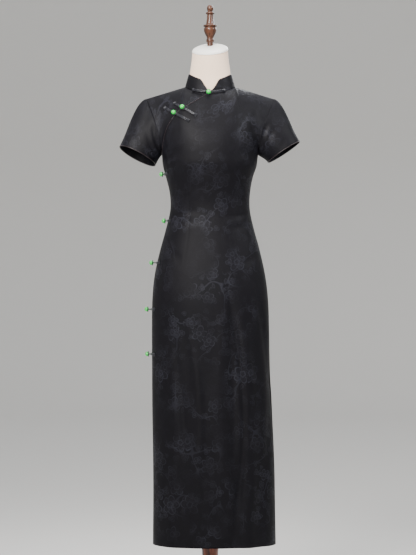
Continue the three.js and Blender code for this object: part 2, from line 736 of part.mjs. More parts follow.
// The neck, from the form's neckline up to its tilted top.
function neckGrid(steps) {
  const turns = range(steps).map((share) => mix(-1, 1, share));
  const ring = (place) => [
    ...turns.slice(0, -1).map((turn) => place(turn, FRONT)),
    ...turns.slice(1).reverse().map((turn) => place(turn, BACK)),
  ];
  const base = ring((turn, face) => {
    const point = formPoint(necklinePoint(Math.abs(turn), face));
    return vector(point.x * (Math.sign(turn) || 1), point.y, point.z);
  });
  const rings = NECK_RINGS.map((row) =>
    ring((turn, face) => {
      const angle = (turn * Math.PI) / 2;
      const point = formPoint(necklinePoint(Math.abs(turn), face));
      const depth = face === FRONT ? row.front : row.back;
      const x = row.halfWidth * Math.sin(angle);
      const y = depth * Math.cos(angle);
      return vector(x, y, mix(point.z, NECK_TOP.z + tiltAt(x, y), row.share));
    }),
  );
  return [base, ...rings];
}

// Closes a ring with triangles to its middle.
function fan(ring, middle, facingDown) {
  const points = ring.flatMap((point, i) => [point, ring[(i + 1) % ring.length], middle]);
  return facingDown ? points.reverse() : points;
}

add("form_torso", formTorso(), formCloth);

// A low domed cap on the neck, leaning with it.
function neckCap() {
  const { halfWidth, halfDepth } = NECK_TOP;
  const edge = halfWidth + 0.6;
  const dome = range(5).slice(0, -1).map((share) => {
    const angle = (share * Math.PI) / 2;
    return [mix(16, edge, Math.cos(angle)), mix(3, CAP_HEIGHT, Math.sin(angle))];
  });
  const profile = [[0, 0.5], [edge, 0.5], ...dome, [16, CAP_HEIGHT], [0, CAP_HEIGHT]];
  const cap = turned(profile, 28);
  cap.scale(1, halfDepth / halfWidth, 1);
  return sloped(cap, () => 1);
}
add("neck_cap", neckCap(), capWhite).position.z = NECK_TOP.z;

// The turned finial. Its foot is cut to the slope of the cap.
function finial() {
  const { z: foot, top } = FINIAL_FOOT;
  const knob = range(5).slice(1, -1).map((share) => {
    const angle = mix(-Math.PI / 2, Math.PI / 2, share);
    return [8.8 * Math.cos(angle), 1698.5 + 9.5 * Math.sin(angle)];
  });
  const profile = [
    [0, foot], [8.4, foot], [8.4, top], [10.5, top + 1], [10.5, 1610], [9.2, 1612.5],
    [11, 1618], [15.5, 1627], [17.8, 1637], [16.5, 1643], [14.5, 1645], [19, 1647],
    [19, 1650.5], [12, 1653.5], [11, 1658], [9, 1670], [8.6, 1680], [12, 1682.5], [12, 1686],
    [7, 1688.5], ...knob, [0, 1708],
  ];
  return sloped(turned(profile, 20), (z) => THREE.MathUtils.clamp((top - z) / (top - foot), 0, 1));
}
add("finial", finial(), finialWood);

function pole() {
  const { radius, foot } = POLE;
  const bottom = BASE.thick + 14.4;
  const profile = [
    [0, bottom], [foot, bottom], [foot, 90], [radius - 2.5, 120], [radius - 1.5, 150],
    [radius, 185], [radius, FORM_BOTTOM - 0.4], [0, FORM_BOTTOM - 0.4],
  ];
  return turned(profile, 24);
}
add("pole", pole(), poleWood);

function base() {
  const { radius, thick } = BASE;
  const socket = thick + 14;
  const profile = [
    [0, 0], [radius - 3, 0], [radius, 3], [radius, thick - 8], [radius - 4, thick - 2],
    [radius - 14, thick], [44, thick], [40, thick + 2], [36, socket - 3], [33, socket], [0, socket],
  ];
  return turned(profile, 40);
}
add("base", base(), poleWood);

export default group;
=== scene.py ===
"""A black jacquard cheongsam on a limbless dress form.

Laid out as a Blender add-on and run as a script. Lengths inside the shape functions are in
millimetres; +Z is up, the dress faces -Y and the wearer's left is at +X.
"""

from functools import partial

import bmesh
import bpy
import numpy as np
from bpy.props import FloatProperty, FloatVectorProperty, PointerProperty
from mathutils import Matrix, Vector


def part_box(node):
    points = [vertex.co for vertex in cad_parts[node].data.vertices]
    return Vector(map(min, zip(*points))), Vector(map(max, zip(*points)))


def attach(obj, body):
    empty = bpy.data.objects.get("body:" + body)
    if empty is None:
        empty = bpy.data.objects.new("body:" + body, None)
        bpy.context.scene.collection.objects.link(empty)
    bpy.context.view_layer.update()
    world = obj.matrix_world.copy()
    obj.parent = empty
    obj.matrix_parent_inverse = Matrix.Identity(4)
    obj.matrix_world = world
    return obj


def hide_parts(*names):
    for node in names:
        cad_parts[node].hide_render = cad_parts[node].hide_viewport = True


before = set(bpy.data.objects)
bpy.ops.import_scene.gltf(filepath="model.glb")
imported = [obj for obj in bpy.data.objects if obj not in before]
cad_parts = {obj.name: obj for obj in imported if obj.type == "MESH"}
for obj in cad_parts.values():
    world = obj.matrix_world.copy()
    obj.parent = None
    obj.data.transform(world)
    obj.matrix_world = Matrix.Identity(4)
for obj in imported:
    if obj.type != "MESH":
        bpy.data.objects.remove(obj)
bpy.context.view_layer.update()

bl_info = {
    "name": "Cheongsam on a dress form",
    "version": (1, 0, 0),
    "blender": (4, 5, 0),
    "location": "3D View > Sidebar > Cheongsam",
    "description": "Makes a long jacquard cheongsam, its dress form and a plain studio",
    "category": "Object",
}

MM = 0.001
WELD = 2e-6  # in metres: points this close are one
FRONT, BACK = -1, 1
RIGHT_ARM, LEFT_ARM = -1, 1  # the wearer's right and left


def box_mm(node):
    """Lowest and highest corners of a CAD node, in millimetres."""
    low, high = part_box(node)
    return np.array(low) / MM, np.array(high) / MM


def rows_of(names, *rows):
    """Rows of a table as dictionaries, from the names of its columns."""
    return [dict(zip(names.split(), row)) for row in rows]


# ---- Sizes of the dress --------------------------------------------------------------

HEM = round(box_mm("front_panel")[0][2])
SLIT_TOP = 586.0
UNDERARM = round(box_mm("underlap_panel")[0][2])
SHOULDER_TIP = (183.0, 4.0, 1441.0)  # the wearer's left one, as x, y and z
SIDE_NECK = (71.0, 6.0, 1475.0)
FRONT_NECK = (-58.0, 1454.0)  # depth and height
BACK_NECK = (64.0, 1490.0)
SQUARENESS = 0.9  # 1 makes each ring of the body an ellipse, less fills its corners
NECK_SHARE = 0.45  # share of a panel's half width at the top that is neckline
CHEST_SLOPE = 0.45  # how straight the chest slopes from the bust to the neck
ARMHOLE_BULGE = 47.0  # half the armhole's depth from front to back
SLIT_SPREAD = 7.0  # how far each edge of a slit stands off its seam at the hem
OVERLAP = 0.16  # share of the half width that the underlap runs under the front
TUCK = 2.2  # how far the underlap lies under the front

# Rings of the body: half-widths to the wearer's right and left, depths to front and back.
BODY_RINGS = rows_of(
    "z right left front back",
    (180, 162, 186, 106, 100), (376, 162, 183, 107, 102), (586, 164.5, 175, 109, 106),
    (660, 165, 170, 110, 109), (785, 165.5, 168, 112, 113), (876, 164, 164, 113, 116),
    (944, 157, 156, 108, 111), (1012, 142, 141, 99, 97), (1066, 127, 126, 93, 85),
    (1125, 113, 113, 89, 77), (1171, 114, 113, 96, 82), (1217, 125, 121, 109, 90),
    (1250, 134, 132, 118, 96), (1282, 137, 136, 119, 100),
)

# Long soft folds of the skirt; a trough is negative.
FOLDS = rows_of(
    "face x slant width out top bottom",
    (FRONT, 58, 16, 15, -6, 950, 240), (FRONT, 92, 18, 17, 4, 900, 180),
    (FRONT, 124, 20, 14, -3, 800, 180), (FRONT, 22, 4, 18, 2.5, 860, 300),
    (FRONT, -18, -2, 16, -2, 780, 260), (FRONT, -64, -8, 20, -3, 830, 180),
    (FRONT, -104, -4, 18, 2.5, 760, 180), (BACK, -76, -10, 18, -5, 860, 180),
    (BACK, -34, -4, 20, 3, 800, 180), (BACK, 20, 6, 18, -3.5, 880, 240),
    (BACK, 70, 14, 20, 3.5, 820, 180), (BACK, 112, 16, 16, -4, 780, 180),
)

# Creases: soft troughs (negative) or ridges along a straight line seen from the front.
FRONT_CREASES = rows_of(
    "x z to_x to_z width out",
    (-104, 1104, -38, 1120, 8, -1.6), (-112, 1078, -50, 1092, 9, -1.3),
    (103, 1112, 34, 1104, 8, -1.5), (112, 1084, 58, 1072, 10, -1.2),
    (106, 1148, 52, 1162, 9, -1.1), (-106, 1146, -60, 1164, 8, -1.1),
    (-128, 1010, -84, 985, 11, -1.4), (130, 1002, 96, 972, 11, -1.4),
    (-134, 1262, -86, 1290, 10, -1.6), (132, 1258, 88, 1292, 10, -1.8),
    (139, 1296, 118, 1360, 9, -2.6), (156, 1372, 124, 1398, 12, -1.6),
    (24, 1236, -30, 1240, 16, -1.4), (12, 820, -2, 640, 12, -1.4), (-40, 700, -36, 420, 11, 1.3),
    (-132, 690, -128, 300, 12, -2.2), (61, 830, 68, 250, 8, -6.5), (96, 780, 106, 240, 13, 3.2),
    (138, 860, 148, 330, 11, -3.4), (-52, 760, -60, 210, 15, 3.0), (-92, 700, -100, 260, 9, -2.4),
    (44, 420, 58, 200, 14, 2.0), (-8, 480, 6, 190, 14, -1.8), (-86, 520, -92, 200, 13, 1.6),
)
BACK_CREASES = rows_of(
    "x z to_x to_z width out",
    (-100, 1098, -30, 1118, 8, -1.8), (100, 1100, 26, 1112, 8, -1.8),
    (-96, 1136, -36, 1142, 9, -1.4), (98, 1140, 44, 1148, 9, -1.3),
    (-124, 1020, -80, 990, 10, -1.5), (122, 1024, 84, 990, 11, -1.4),
    (-137, 1290, -104, 1362, 10, -2.6), (138, 1292, 108, 1352, 10, -2.4),
    (-60, 1400, -110, 1380, 14, -1.2), (46, 640, 54, 210, 13, -2.2),
    (-110, 620, -122, 230, 14, 1.8), (0, 560, -10, 200, 15, 1.6),
)
SLEEVE_CREASES = rows_of(
    "x z to_x to_z width out",
    (146, 1298, 160, 1362, 7, -3.4), (158, 1290, 178, 1352, 8, -2.0),
    (172, 1418, 196, 1344, 11, -1.5), (204, 1300, 222, 1356, 10, -1.1),
)

# Darts: pairs of straight runs pressed into fine grooves, for a general figure.
DARTS = {
    FRONT: [(68, 1212, 72, 985), (127, 1238, 88, 1256)],
    BACK: [(60, 1186, 64, 940)],
}

DART_WIDTH, DART_DEPTH = 1.6, 0.7

# The slanting opening, from the right side seam (-1) to the middle (0).
OPENING = rows_of(
    "up across",
    (0, -1), (0.08, -0.885), (0.17, -0.81), (0.26, -0.738), (0.33, -0.64), (0.4, -0.53),
    (0.46, -0.42), (0.52, -0.338), (0.6, -0.268), (0.7, -0.193), (0.83, -0.112), (1, -0.012),
)

CUFFS = {
    RIGHT_ARM: {"outer": (257, 1305), "inner": (155, 1254), "deep": 46, "lift": 22},
    LEFT_ARM: {"outer": (255, 1320), "inner": (164, 1261), "deep": 45, "lift": 9},
}
CAP_FULLNESS = 0.62  # how far a sleeve's lines run on from the shoulder before they bend
SLEEVE_TUCK = (4, 1.3)  # how far a sleeve's head runs back, and in, under the body's edge

COLLAR_TOP = {"x": 61.2, "front": -49, "back": 55, "front_z": 1488, "side_z": 1510, "back_z": 1522}
COLLAR_WALL = 1.8  # two layers of cloth
COLLAR_FOOT = (3.0, 1.6)  # how far its foot lies below the neckline, and inside it
COLLAR_LIFT = 0.6  # its lower edge stands this far above the neckline
COLLAR_ROUND = 29.0  # degrees of the front that its rounded corner takes
COLLAR_LEAST = 0.12  # share of its height left at the centre front

CHEST_FROGS = {
    "chest_upper": {"x": -76, "z": 1408, "right": 28, "left": 42},
    "chest_lower": {"x": -98.5, "z": 1394, "right": 33, "left": 45},
}
CHEST_FROG_SLOPE = np.radians(31)
# In degrees from the centre front, then how far its cords lie off the collar and above its foot.
COLLAR_FROG = {"turn": -3.4, "gap": 6.9, "reach": 36, "off": 2.6, "above": 1.2}
SIDE_FROGS = ("side_1", "side_2", "side_3", "side_4", "side_5")
SIDE_REACH = -0.77  # how far across a side frog's arms end
CORD_OFF = 0.5  # how far a cord lies off the cloth
# The knot wrapped round a doubled cord: its turns, and its sizes over the cord's radius.
KNOT = {"turns": 3, "wide": 1.35, "high": 1.75, "long": 4.2, "cord": 0.72}

FORM_SCALE = (0.935, 0.87)  # the form's width and depth over the dress's
FORM_DROP = 8.0
CAP_LEAN = (np.tan(np.radians(4)), np.tan(np.radians(21)))  # sideways and forwards
NECK_TOP_Z = 1578.0
NECK_RINGS = rows_of(
    "share half_width front back",
    (0.22, 60.5, -48.5, 52), (0.46, 57, -46.5, 50), (0.72, 53, -47, 48), (1, 50, -47, 47),
)


# ---- Settings that a user would change -----------------------------------------------


def linear(code, alpha=False):
    """The linear colour of an sRGB hex value such as "#1d1c22"."""
    parts = [int(code[i : i + 2], 16) / 255 for i in (1, 3, 5)]
    values = [c / 12.92 if c <= 0.04045 else ((c + 0.055) / 1.055) ** 2.4 for c in parts]
    return (*values, 1.0) if alpha else tuple(values)


def length(name, text, value):
    """A property for a length in millimetres."""
    return FloatProperty(name=name, description=text, default=value, min=0.0)


def colour(name, text, code):
    """A property for a colour, from an sRGB hex value."""
    return FloatVectorProperty(
        name=name, description=text, default=linear(code), subtype="COLOR", min=0.0, max=1.0
    )


class DressSizes(bpy.types.PropertyGroup):
    """Sizes in millimetres."""

    cloth_wall: length("Cloth", "Thickness of the cloth", 0.9)
    fold_depth: FloatProperty(
        name="Folds", description="Depth of the folds, 1 as worn", default=1.0, min=0.0, max=1.5,
        subtype="FACTOR",
    )
    flower: length("Flower", "Distance between the woven flowers", 62.0)
    thread: length("Thread", "Distance between the threads, drawn coarse enough to show", 1.1)
    piping: length("Piping", "Radius of the satin piping", 1.1)
    cord: length("Frog cord", "Radius of the frogs' cord", 1.55)


class DressColours(bpy.types.PropertyGroup):
    """Colours of the finishes."""

    ground: colour("Cloth", "Ground of the jacquard", "#0f0e12")
    # Lighter than the ground: painted sheen of the satin floats, which are woven in the same
    # black.
    flowers: colour("Flowers", "Woven flowers of the jacquard", "#25252c")
    satin: colour("Piping", "Satin of the piping", "#1a0f12")
    cord: colour("Frog cord", "Satin of the frogs' cords", "#1d1d22")
    bead: colour("Beads", "Polished beads", "#009a24")
    cotton: colour("Form", "Cotton cover of the form", "#ffe4c9")
    cap: colour("Cap", "Cap of the neck", "#f4f2ec")
    finial: colour("Finial", "Varnished wood of the finial", "#583423")
    pole: colour("Stand", "Varnished wood of the pole and base", "#8a4326")


# ---- Tools for shapes ----------------------------------------------------------------


def mix(low, high, share):
    """The value at a share of the way from low to high."""
    return low + (high - low) * share


def smooth(value):
    """0 to 1 with level ends: 3 v^2 - 2 v^3."""
    v = np.clip(value, 0.0, 1.0)
    return v * v * (3 - 2 * v)


def power(value, exponent):
    """A power that keeps the value's sign."""
    return np.sign(value) * np.abs(value) ** exponent


def unit(vectors):
    """The same directions with length 1."""
    return vectors / np.maximum(np.linalg.norm(vectors, axis=-1, keepdims=True), 1e-9)


def points_of(x, y, z):
    """An array of points from three arrays that broadcast together."""
    return np.stack(np.broadcast_arrays(x, y, z), axis=-1).astype(float)


def table_curve(rows, key, place, column):
    """One column of a table between its rows: cubic pieces whose slope at each row is that
    from the row before it to the row after it."""
    keys = np.array([row[key] for row in rows], float)
    values = np.array([row[column] for row in rows], float)
    last = len(keys) - 1
    i = np.clip(np.searchsorted(keys, place, side="right") - 1, 0, last - 1)
    before, after = np.maximum(i - 1, 0), np.minimum(i + 2, last)
    span = keys[i + 1] - keys[i]
    slope_low = (values[i + 1] - values[before]) / (keys[i + 1] - keys[before]) * span
    slope_high = (values[after] - values[i]) / (keys[after] - keys[i]) * span
    u = np.clip((place - keys[i]) / span, 0, 1)
    cube = 2 * values[i] - 2 * values[i + 1] + slope_low + slope_high
    square = 3 * values[i + 1] - 3 * values[i] - 2 * slope_low - slope_high
    return ((cube * u + square) * u + slope_low) * u + values[i]


def grid_normals(grid, closed=False):
    """Outward directions of a grid of points: its way along a row crossed with its way up."""
    if closed:
        along = np.roll(grid, -1, axis=1) - np.roll(grid, 1, axis=1)
    else:
        along = np.gradient(grid, axis=1)
    return unit(np.cross(along, np.gradient(grid, axis=0)))


def grid_faces(rows, columns, closed=False, looped=False):
    """Four-sided faces of a grid whose points are numbered row by row. The last column joins
    the first where it is closed, and the last row joins the first where it is looped."""
    i, j = np.meshgrid(np.arange(rows - (not looped)), np.arange(columns - (not closed)),
                       indexing="ij")
    above, k = (i + 1) % rows, (j + 1) % columns
    corners = [i * columns + j, i * columns + k, above * columns + k, above * columns + j]
    return np.stack(corners, axis=-1).reshape(-1, 4)


def grid_lengths(grid):
    """How far each point lies along its row, from the row's middle, and up its column."""
    across = np.linalg.norm(np.diff(grid, axis=1), axis=-1)
    upward = np.linalg.norm(np.diff(grid, axis=0), axis=-1)
    u = np.pad(np.cumsum(across, axis=1), ((0, 0), (1, 0)))
    v = np.pad(np.cumsum(upward, axis=0), ((1, 0), (0, 0)))
    return u - u[:, -1:] / 2, np.broadcast_to(v.mean(axis=1, keepdims=True), u.shape)


def grid_shape(grid, closed=False, looped=False):
    """The points and faces of a grid."""
    return grid.reshape(-1, 3), [grid_faces(*grid.shape[:2], closed, looped)]


def full_turn(count):
    """Angles in radians, shared out evenly round one turn."""
    return np.linspace(0, 2 * np.pi, count, endpoint=False)


def lathed(radius, height, angle):
    """Rings of points about the Z axis, one for each radius and height."""
    radius, height = radius[:, None], height[:, None]
    return points_of(radius * np.cos(angle), radius * np.sin(angle), height)


def tube(path, facing, radius, sides=10, closed=False):
    """A round cord along a path. Each ring lies square to the path, turned so that its top
    faces the way given at that point; radius may change along the way. Ends are domed."""
    path, facing = np.asarray(path, float), np.asarray(facing, float)
    step = np.roll(path, -1, axis=0) - np.roll(path, 1, axis=0)
    if not closed:
        step[0], step[-1] = path[1] - path[0], path[-1] - path[-2]
    step = unit(step)
    side = unit(np.cross(step, facing))
    top = np.cross(side, step)
    radius = np.broadcast_to(np.asarray(radius, float), len(path)).copy()
    if not closed:
        ahead, shrink = np.array([0.75, 0.35]), np.array([0.45, 0.85])
        first = path[0] - step[0] * radius[0] * ahead[:, None]
        last = path[-1] + step[-1] * radius[-1] * ahead[::-1, None]
        path = np.concatenate([first, path, last])
        side, top = (np.concatenate([v[:1], v[:1], v, v[-1:], v[-1:]]) for v in (side, top))
        radius = np.concatenate([radius[0] * shrink, radius, radius[-1] * shrink[::-1]])
    angle = full_turn(sides)[:, None]
    ring = np.cos(angle) * side[:, None] + np.sin(angle) * top[:, None]
    points, faces = grid_shape(path[:, None] + ring * radius[:, None, None], True, closed)
    if closed:
        return points, faces
    count, j = np.full(sides, len(points)), np.arange(sides)
    k = (j + 1) % sides
    low = np.stack([count, k, j], axis=-1)
    high = np.stack([count + 1, j + count - sides, k + count - sides], axis=-1)
    return np.concatenate([points, path[:1], path[-1:]]), [*faces, low, high]


def turned(profile, sides=72, steps=6):
    """A lathe shape about the Z axis from rows of radius and height, smoothed along a curve
    between rows; rows repeated close together keep an edge crisp."""
    rows = rows_of("row radius height", *((i, *row) for i, row in enumerate(profile)))
    fine = np.linspace(0, len(rows) - 1, (len(rows) - 1) * steps + 1)
    radius, height = (table_curve(rows, "row", fine, name) for name in ("radius", "height"))
    return grid_shape(lathed(np.maximum(radius, 0), height, full_turn(sides)), True)


def joined(parts):
    """One list of points and faces from several."""
    points, faces, start = [], [], 0
    for part_points, part_faces in parts:
        points.append(part_points)
        faces += [block + start for block in part_faces]
        start += len(part_points)
    return np.concatenate(points), faces


def make_piece(name, shape, finish, *replaced, uv=None, weld=False):
    """A mesh object in metres from points and faces in millimetres, riding on the one body
    in place of the CAD nodes named."""
    points, faces = shape
    mesh = bpy.data.meshes.new(name)
    mesh.from_pydata(points * MM, [], [face.tolist() for block in faces for face in block])
    if uv is not None:
        layer = mesh.uv_layers.new(name="Cloth")
        corner = np.empty(len(mesh.loops), np.int32)
        mesh.loops.foreach_get("vertex_index", corner)
        layer.data.foreach_set("uv", (uv[corner] * MM).astype(np.float32).ravel())
    if weld:
        work = bmesh.new()
        work.from_mesh(mesh)
        bmesh.ops.remove_doubles(work, verts=work.verts, dist=WELD)
        bmesh.ops.recalc_face_normals(work, faces=work.faces)
        work.to_mesh(mesh)
        work.free()
    mesh.polygons.foreach_set("use_smooth", np.ones(len(mesh.polygons), bool))
    mesh.update()
    piece = bpy.data.objects.new(name, mesh)
    bpy.context.scene.collection.objects.link(piece)
    slot, material = finished(finish)
    mesh.materials.append(material)
    if slot:
        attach(piece, "root")
        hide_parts(*replaced)
    return piece


def cloth_piece(name, grid, node_name, wall=None, closed=False):
    """A thin shell of jacquard: the grid is its outer face, and the wall lies inside it."""
    if closed:
        grid = np.concatenate([grid, grid[:, :1]], axis=1)
    u, v = grid_lengths(grid)
    uv = np.stack([u + grid[..., 0].mean(), v + grid[0, ..., 2].mean()], axis=-1)
    piece = make_piece(name, grid_shape(grid), "jacquard", node_name, uv=uv.reshape(-1, 2),
                       weld=closed)
    shell = piece.modifiers.new("wall", "SOLIDIFY")
    shell.thickness = (wall or bpy.context.scene.dress_sizes.cloth_wall) * MM
    shell.offset = -1.0


# ---- The dress's form ----------------------------------------------------------------


def fold_at(x, z, face):
    """How far the long folds push the skirt out: bell-shaped across, fading in downwards."""
    out = np.zeros(np.broadcast(x, z).shape)
    for fold in FOLDS:
        if fold["face"] != face:
            continue
        share = (z - HEM) / (fold["top"] - HEM)
        middle = mix(fold["x"] + fold["slant"], fold["x"], share)
        across = (x - middle) / fold["width"]
        fade_in = smooth((fold["top"] - z) / 220)
        fade_out = mix(0.35, 1, smooth((z - fold["bottom"]) / 160)) if fold["bottom"] > HEM else 1
        out += fold["out"] * fade_in * fade_out * np.exp(-across * across)
    return out * bpy.context.scene.dress_sizes.fold_depth


def skirt_points(across, z, face, folded=True):
    """Points below the underarm. Each ring's half is a superellipse, and across runs from -1
    at the right side seam to 1 at the left one."""
    across, z = np.broadcast_arrays(np.asarray(across, float), np.asarray(z, float))
    angle = across * np.pi / 2
    ring = partial(table_curve, BODY_RINGS, "z", z)
    width = np.where(across < 0, ring("right"), ring("left"))
    depth = ring("front" if face == FRONT else "back")
    x = width * power(np.sin(angle), SQUARENESS)
    y = face * depth * np.maximum(np.cos(angle), 0) ** SQUARENESS
    points = points_of(x, y, z)
    if not folded:
        return points
    outward = unit(points_of(x / width**2, y / depth**2, 0))
    points += outward * fold_at(x, z, face)[..., None]
    spread = np.clip((SLIT_TOP - z) / (SLIT_TOP - HEM), 0, 1)
    points[..., 1] += face * SLIT_SPREAD * spread * np.abs(across) ** 6
    return points


def neckline_points(turn, face):
    """The neckline's ring, turn running from -1 to 1 across the front or the back."""
    angle = turn * np.pi / 2
    middle = FRONT_NECK if face == FRONT else BACK_NECK
    near = np.maximum(np.cos(angle), 0)
    return points_of(
        SIDE_NECK[0] * np.sin(angle),
        mix(SIDE_NECK[1], middle[0], near),
        mix(SIDE_NECK[2], middle[1], near**1.4),
    )


def top_points(across, face):
    """The upper edge of a panel: the neckline and then the shoulder seam."""
    neck = neckline_points(np.clip(across / NECK_SHARE, -1, 1), face)
    share = np.clip((np.abs(across) - NECK_SHARE) / (1 - NECK_SHARE), 0, 1)
    x, y, z = (mix(neck, tip, share) for neck, tip in zip(SIDE_NECK, SHOULDER_TIP))
    seam = points_of(np.sign(across) * x, y, z)
    return np.where((np.abs(across) > NECK_SHARE)[..., None], seam, neck)


def armhole_points(up, side, face):
    """The armhole, from the underarm (0) to the shoulder tip (1)."""
    start = skirt_points(float(side), UNDERARM, face, False)
    return points_of(
        mix(start[0], side * SHOULDER_TIP[0], up**1.9),
        SHOULDER_TIP[1] * up + face * ARMHOLE_BULGE * np.sin(np.pi * up**0.9) ** 0.8,
        mix(UNDERARM, SHOULDER_TIP[2], up**1.25),
    )


def chest_column(bottom, top, up, near_neck):
    """A column bends back from the chest to the top edge as part of an ellipse, and nearer
    the neck more of it is a straight slope."""
    lean = np.radians(mix(88, 62, near_neck))
    rise = np.sin(up * lean) / np.sin(lean)
    rounded = (1 - np.cos(up * lean)) / (1 - np.cos(lean))
    bend = mix(rounded, rise, near_neck * CHEST_SLOPE * smooth(up / 0.6))
    shares = (up**1.6, bend, rise)
    return points_of(*(mix(bottom[..., i], top[..., i], share) for i, share in enumerate(shares)))


def chest_points(across, up, face):
    """Points above the underarm: bent columns, drawn to the armhole's edge at the arms by
    the fourth power of how far across they are."""
    across, up = np.broadcast_arrays(np.asarray(across, float), np.asarray(up, float))
    bottom = skirt_points(across, UNDERARM, face, False)
    near_neck = 1 - smooth(np.abs(across) / NECK_SHARE)
    column = chest_column(bottom, top_points(across, face), up, near_neck)
    for side in (RIGHT_ARM, LEFT_ARM):
        side_bottom = skirt_points(float(side), UNDERARM, face, False)
        side_top = np.array([side * SHOULDER_TIP[0], *SHOULDER_TIP[1:]])
        edge = armhole_points(up, side, face) - chest_column(side_bottom, side_top, up, 0)
        column += edge * np.where(across * side > 0, across**4, 0)[..., None]
    return column


def opening_across(up):
    """Where the front's cut edge has come to at a share of the height above the underarm."""
    return table_curve(OPENING, "up", up, "across")


def creased(grid, creases, closed=False):
    """Moves a grid out by its creases, each a bell across its line and level at its ends."""
    out = np.zeros(grid.shape[:2])
    x, z = grid[..., 0], grid[..., 2]
    for crease in creases:
        dx, dz = x - crease["x"], z - crease["z"]
        run_x, run_z = crease["to_x"] - crease["x"], crease["to_z"] - crease["z"]
        size = np.hypot(run_x, run_z)
        share = (dx * run_x + dz * run_z) / size**2
        aside = (dx * run_z - dz * run_x) / size
        aside = aside + 0.05 * size * np.sin(share * np.pi)
        width = crease["width"] * (0.75 + 0.5 * np.clip(share, 0, 1))
        ends = smooth((share + 0.25) / 0.5) * smooth((1.25 - share) / 0.5)
        out += crease["out"] * ends * np.exp(-((aside / width) ** 2))
    depth = bpy.context.scene.dress_sizes.fold_depth
    return grid + grid_normals(grid, closed) * (out * depth)[..., None]


def darted(grid, face):
    """Presses the darts in as fine grooves, on both sides of the middle."""
    lines = [
        (side * x, z, side * to_x, to_z, DART_WIDTH, -DART_DEPTH)
        for x, z, to_x, to_z in DARTS[face] for side in (RIGHT_ARM, LEFT_ARM)
    ]
    return creased(grid, rows_of("x z to_x to_z width out", *lines))


def hanging(grid):
    """Small uneven waves of slack cloth, under a millimetre deep and deeper by the hem."""
    x, z = grid[..., 0], grid[..., 2]
    low = smooth((1000 - z) / 700)
    wave = np.sin(0.061 * x + 1.3 * np.sin(0.0052 * z)) * np.sin(0.0083 * z + 0.012 * x)
    small = np.sin(0.027 * z - 0.019 * x) * np.sin(0.043 * x + 0.9) * 0.35
    return grid + grid_normals(grid) * ((wave * 0.8 * low) + small)[..., None]


# ---- Materials -----------------------------------------------------------------------


def node(tree, kind, *inputs, **settings):
    """Adds a shader node and sets its properties. Inputs are set or linked in the order of
    the sockets, or by socket in one dictionary, and a node stands for its first output."""
    made = tree.nodes.new("ShaderNode" + kind)
    for name, value in settings.items():
        setattr(made, name, value)
    by_socket = inputs and isinstance(inputs[0], dict)
    for socket, value in (inputs[0] if by_socket else dict(enumerate(inputs))).items():
        if isinstance(value, bpy.types.Node):
            value = value.outputs[0]
        if isinstance(value, bpy.types.NodeSocket):
            tree.links.new(value, made.inputs[socket])
        elif value is not None:
            made.inputs[socket].default_value = value
    return made


def finished(key):
    """The slot and the material of one of FINISHES, built when it is first asked for."""
    slot, name, build, *settings = FINISHES[key]
    if name not in bpy.data.materials:
        material = bpy.data.materials.new(name)
        material.use_nodes = True
        tree = material.node_tree
        tree.nodes.clear()
        shader = build(partial(node, tree), bpy.context.scene.dress_colours, *settings)
        node(tree, "OutputMaterial", {"Surface": shader})
    return slot, bpy.data.materials[name]


def rgba(value):
    """A colour property with full alpha."""
    return (*value, 1.0)


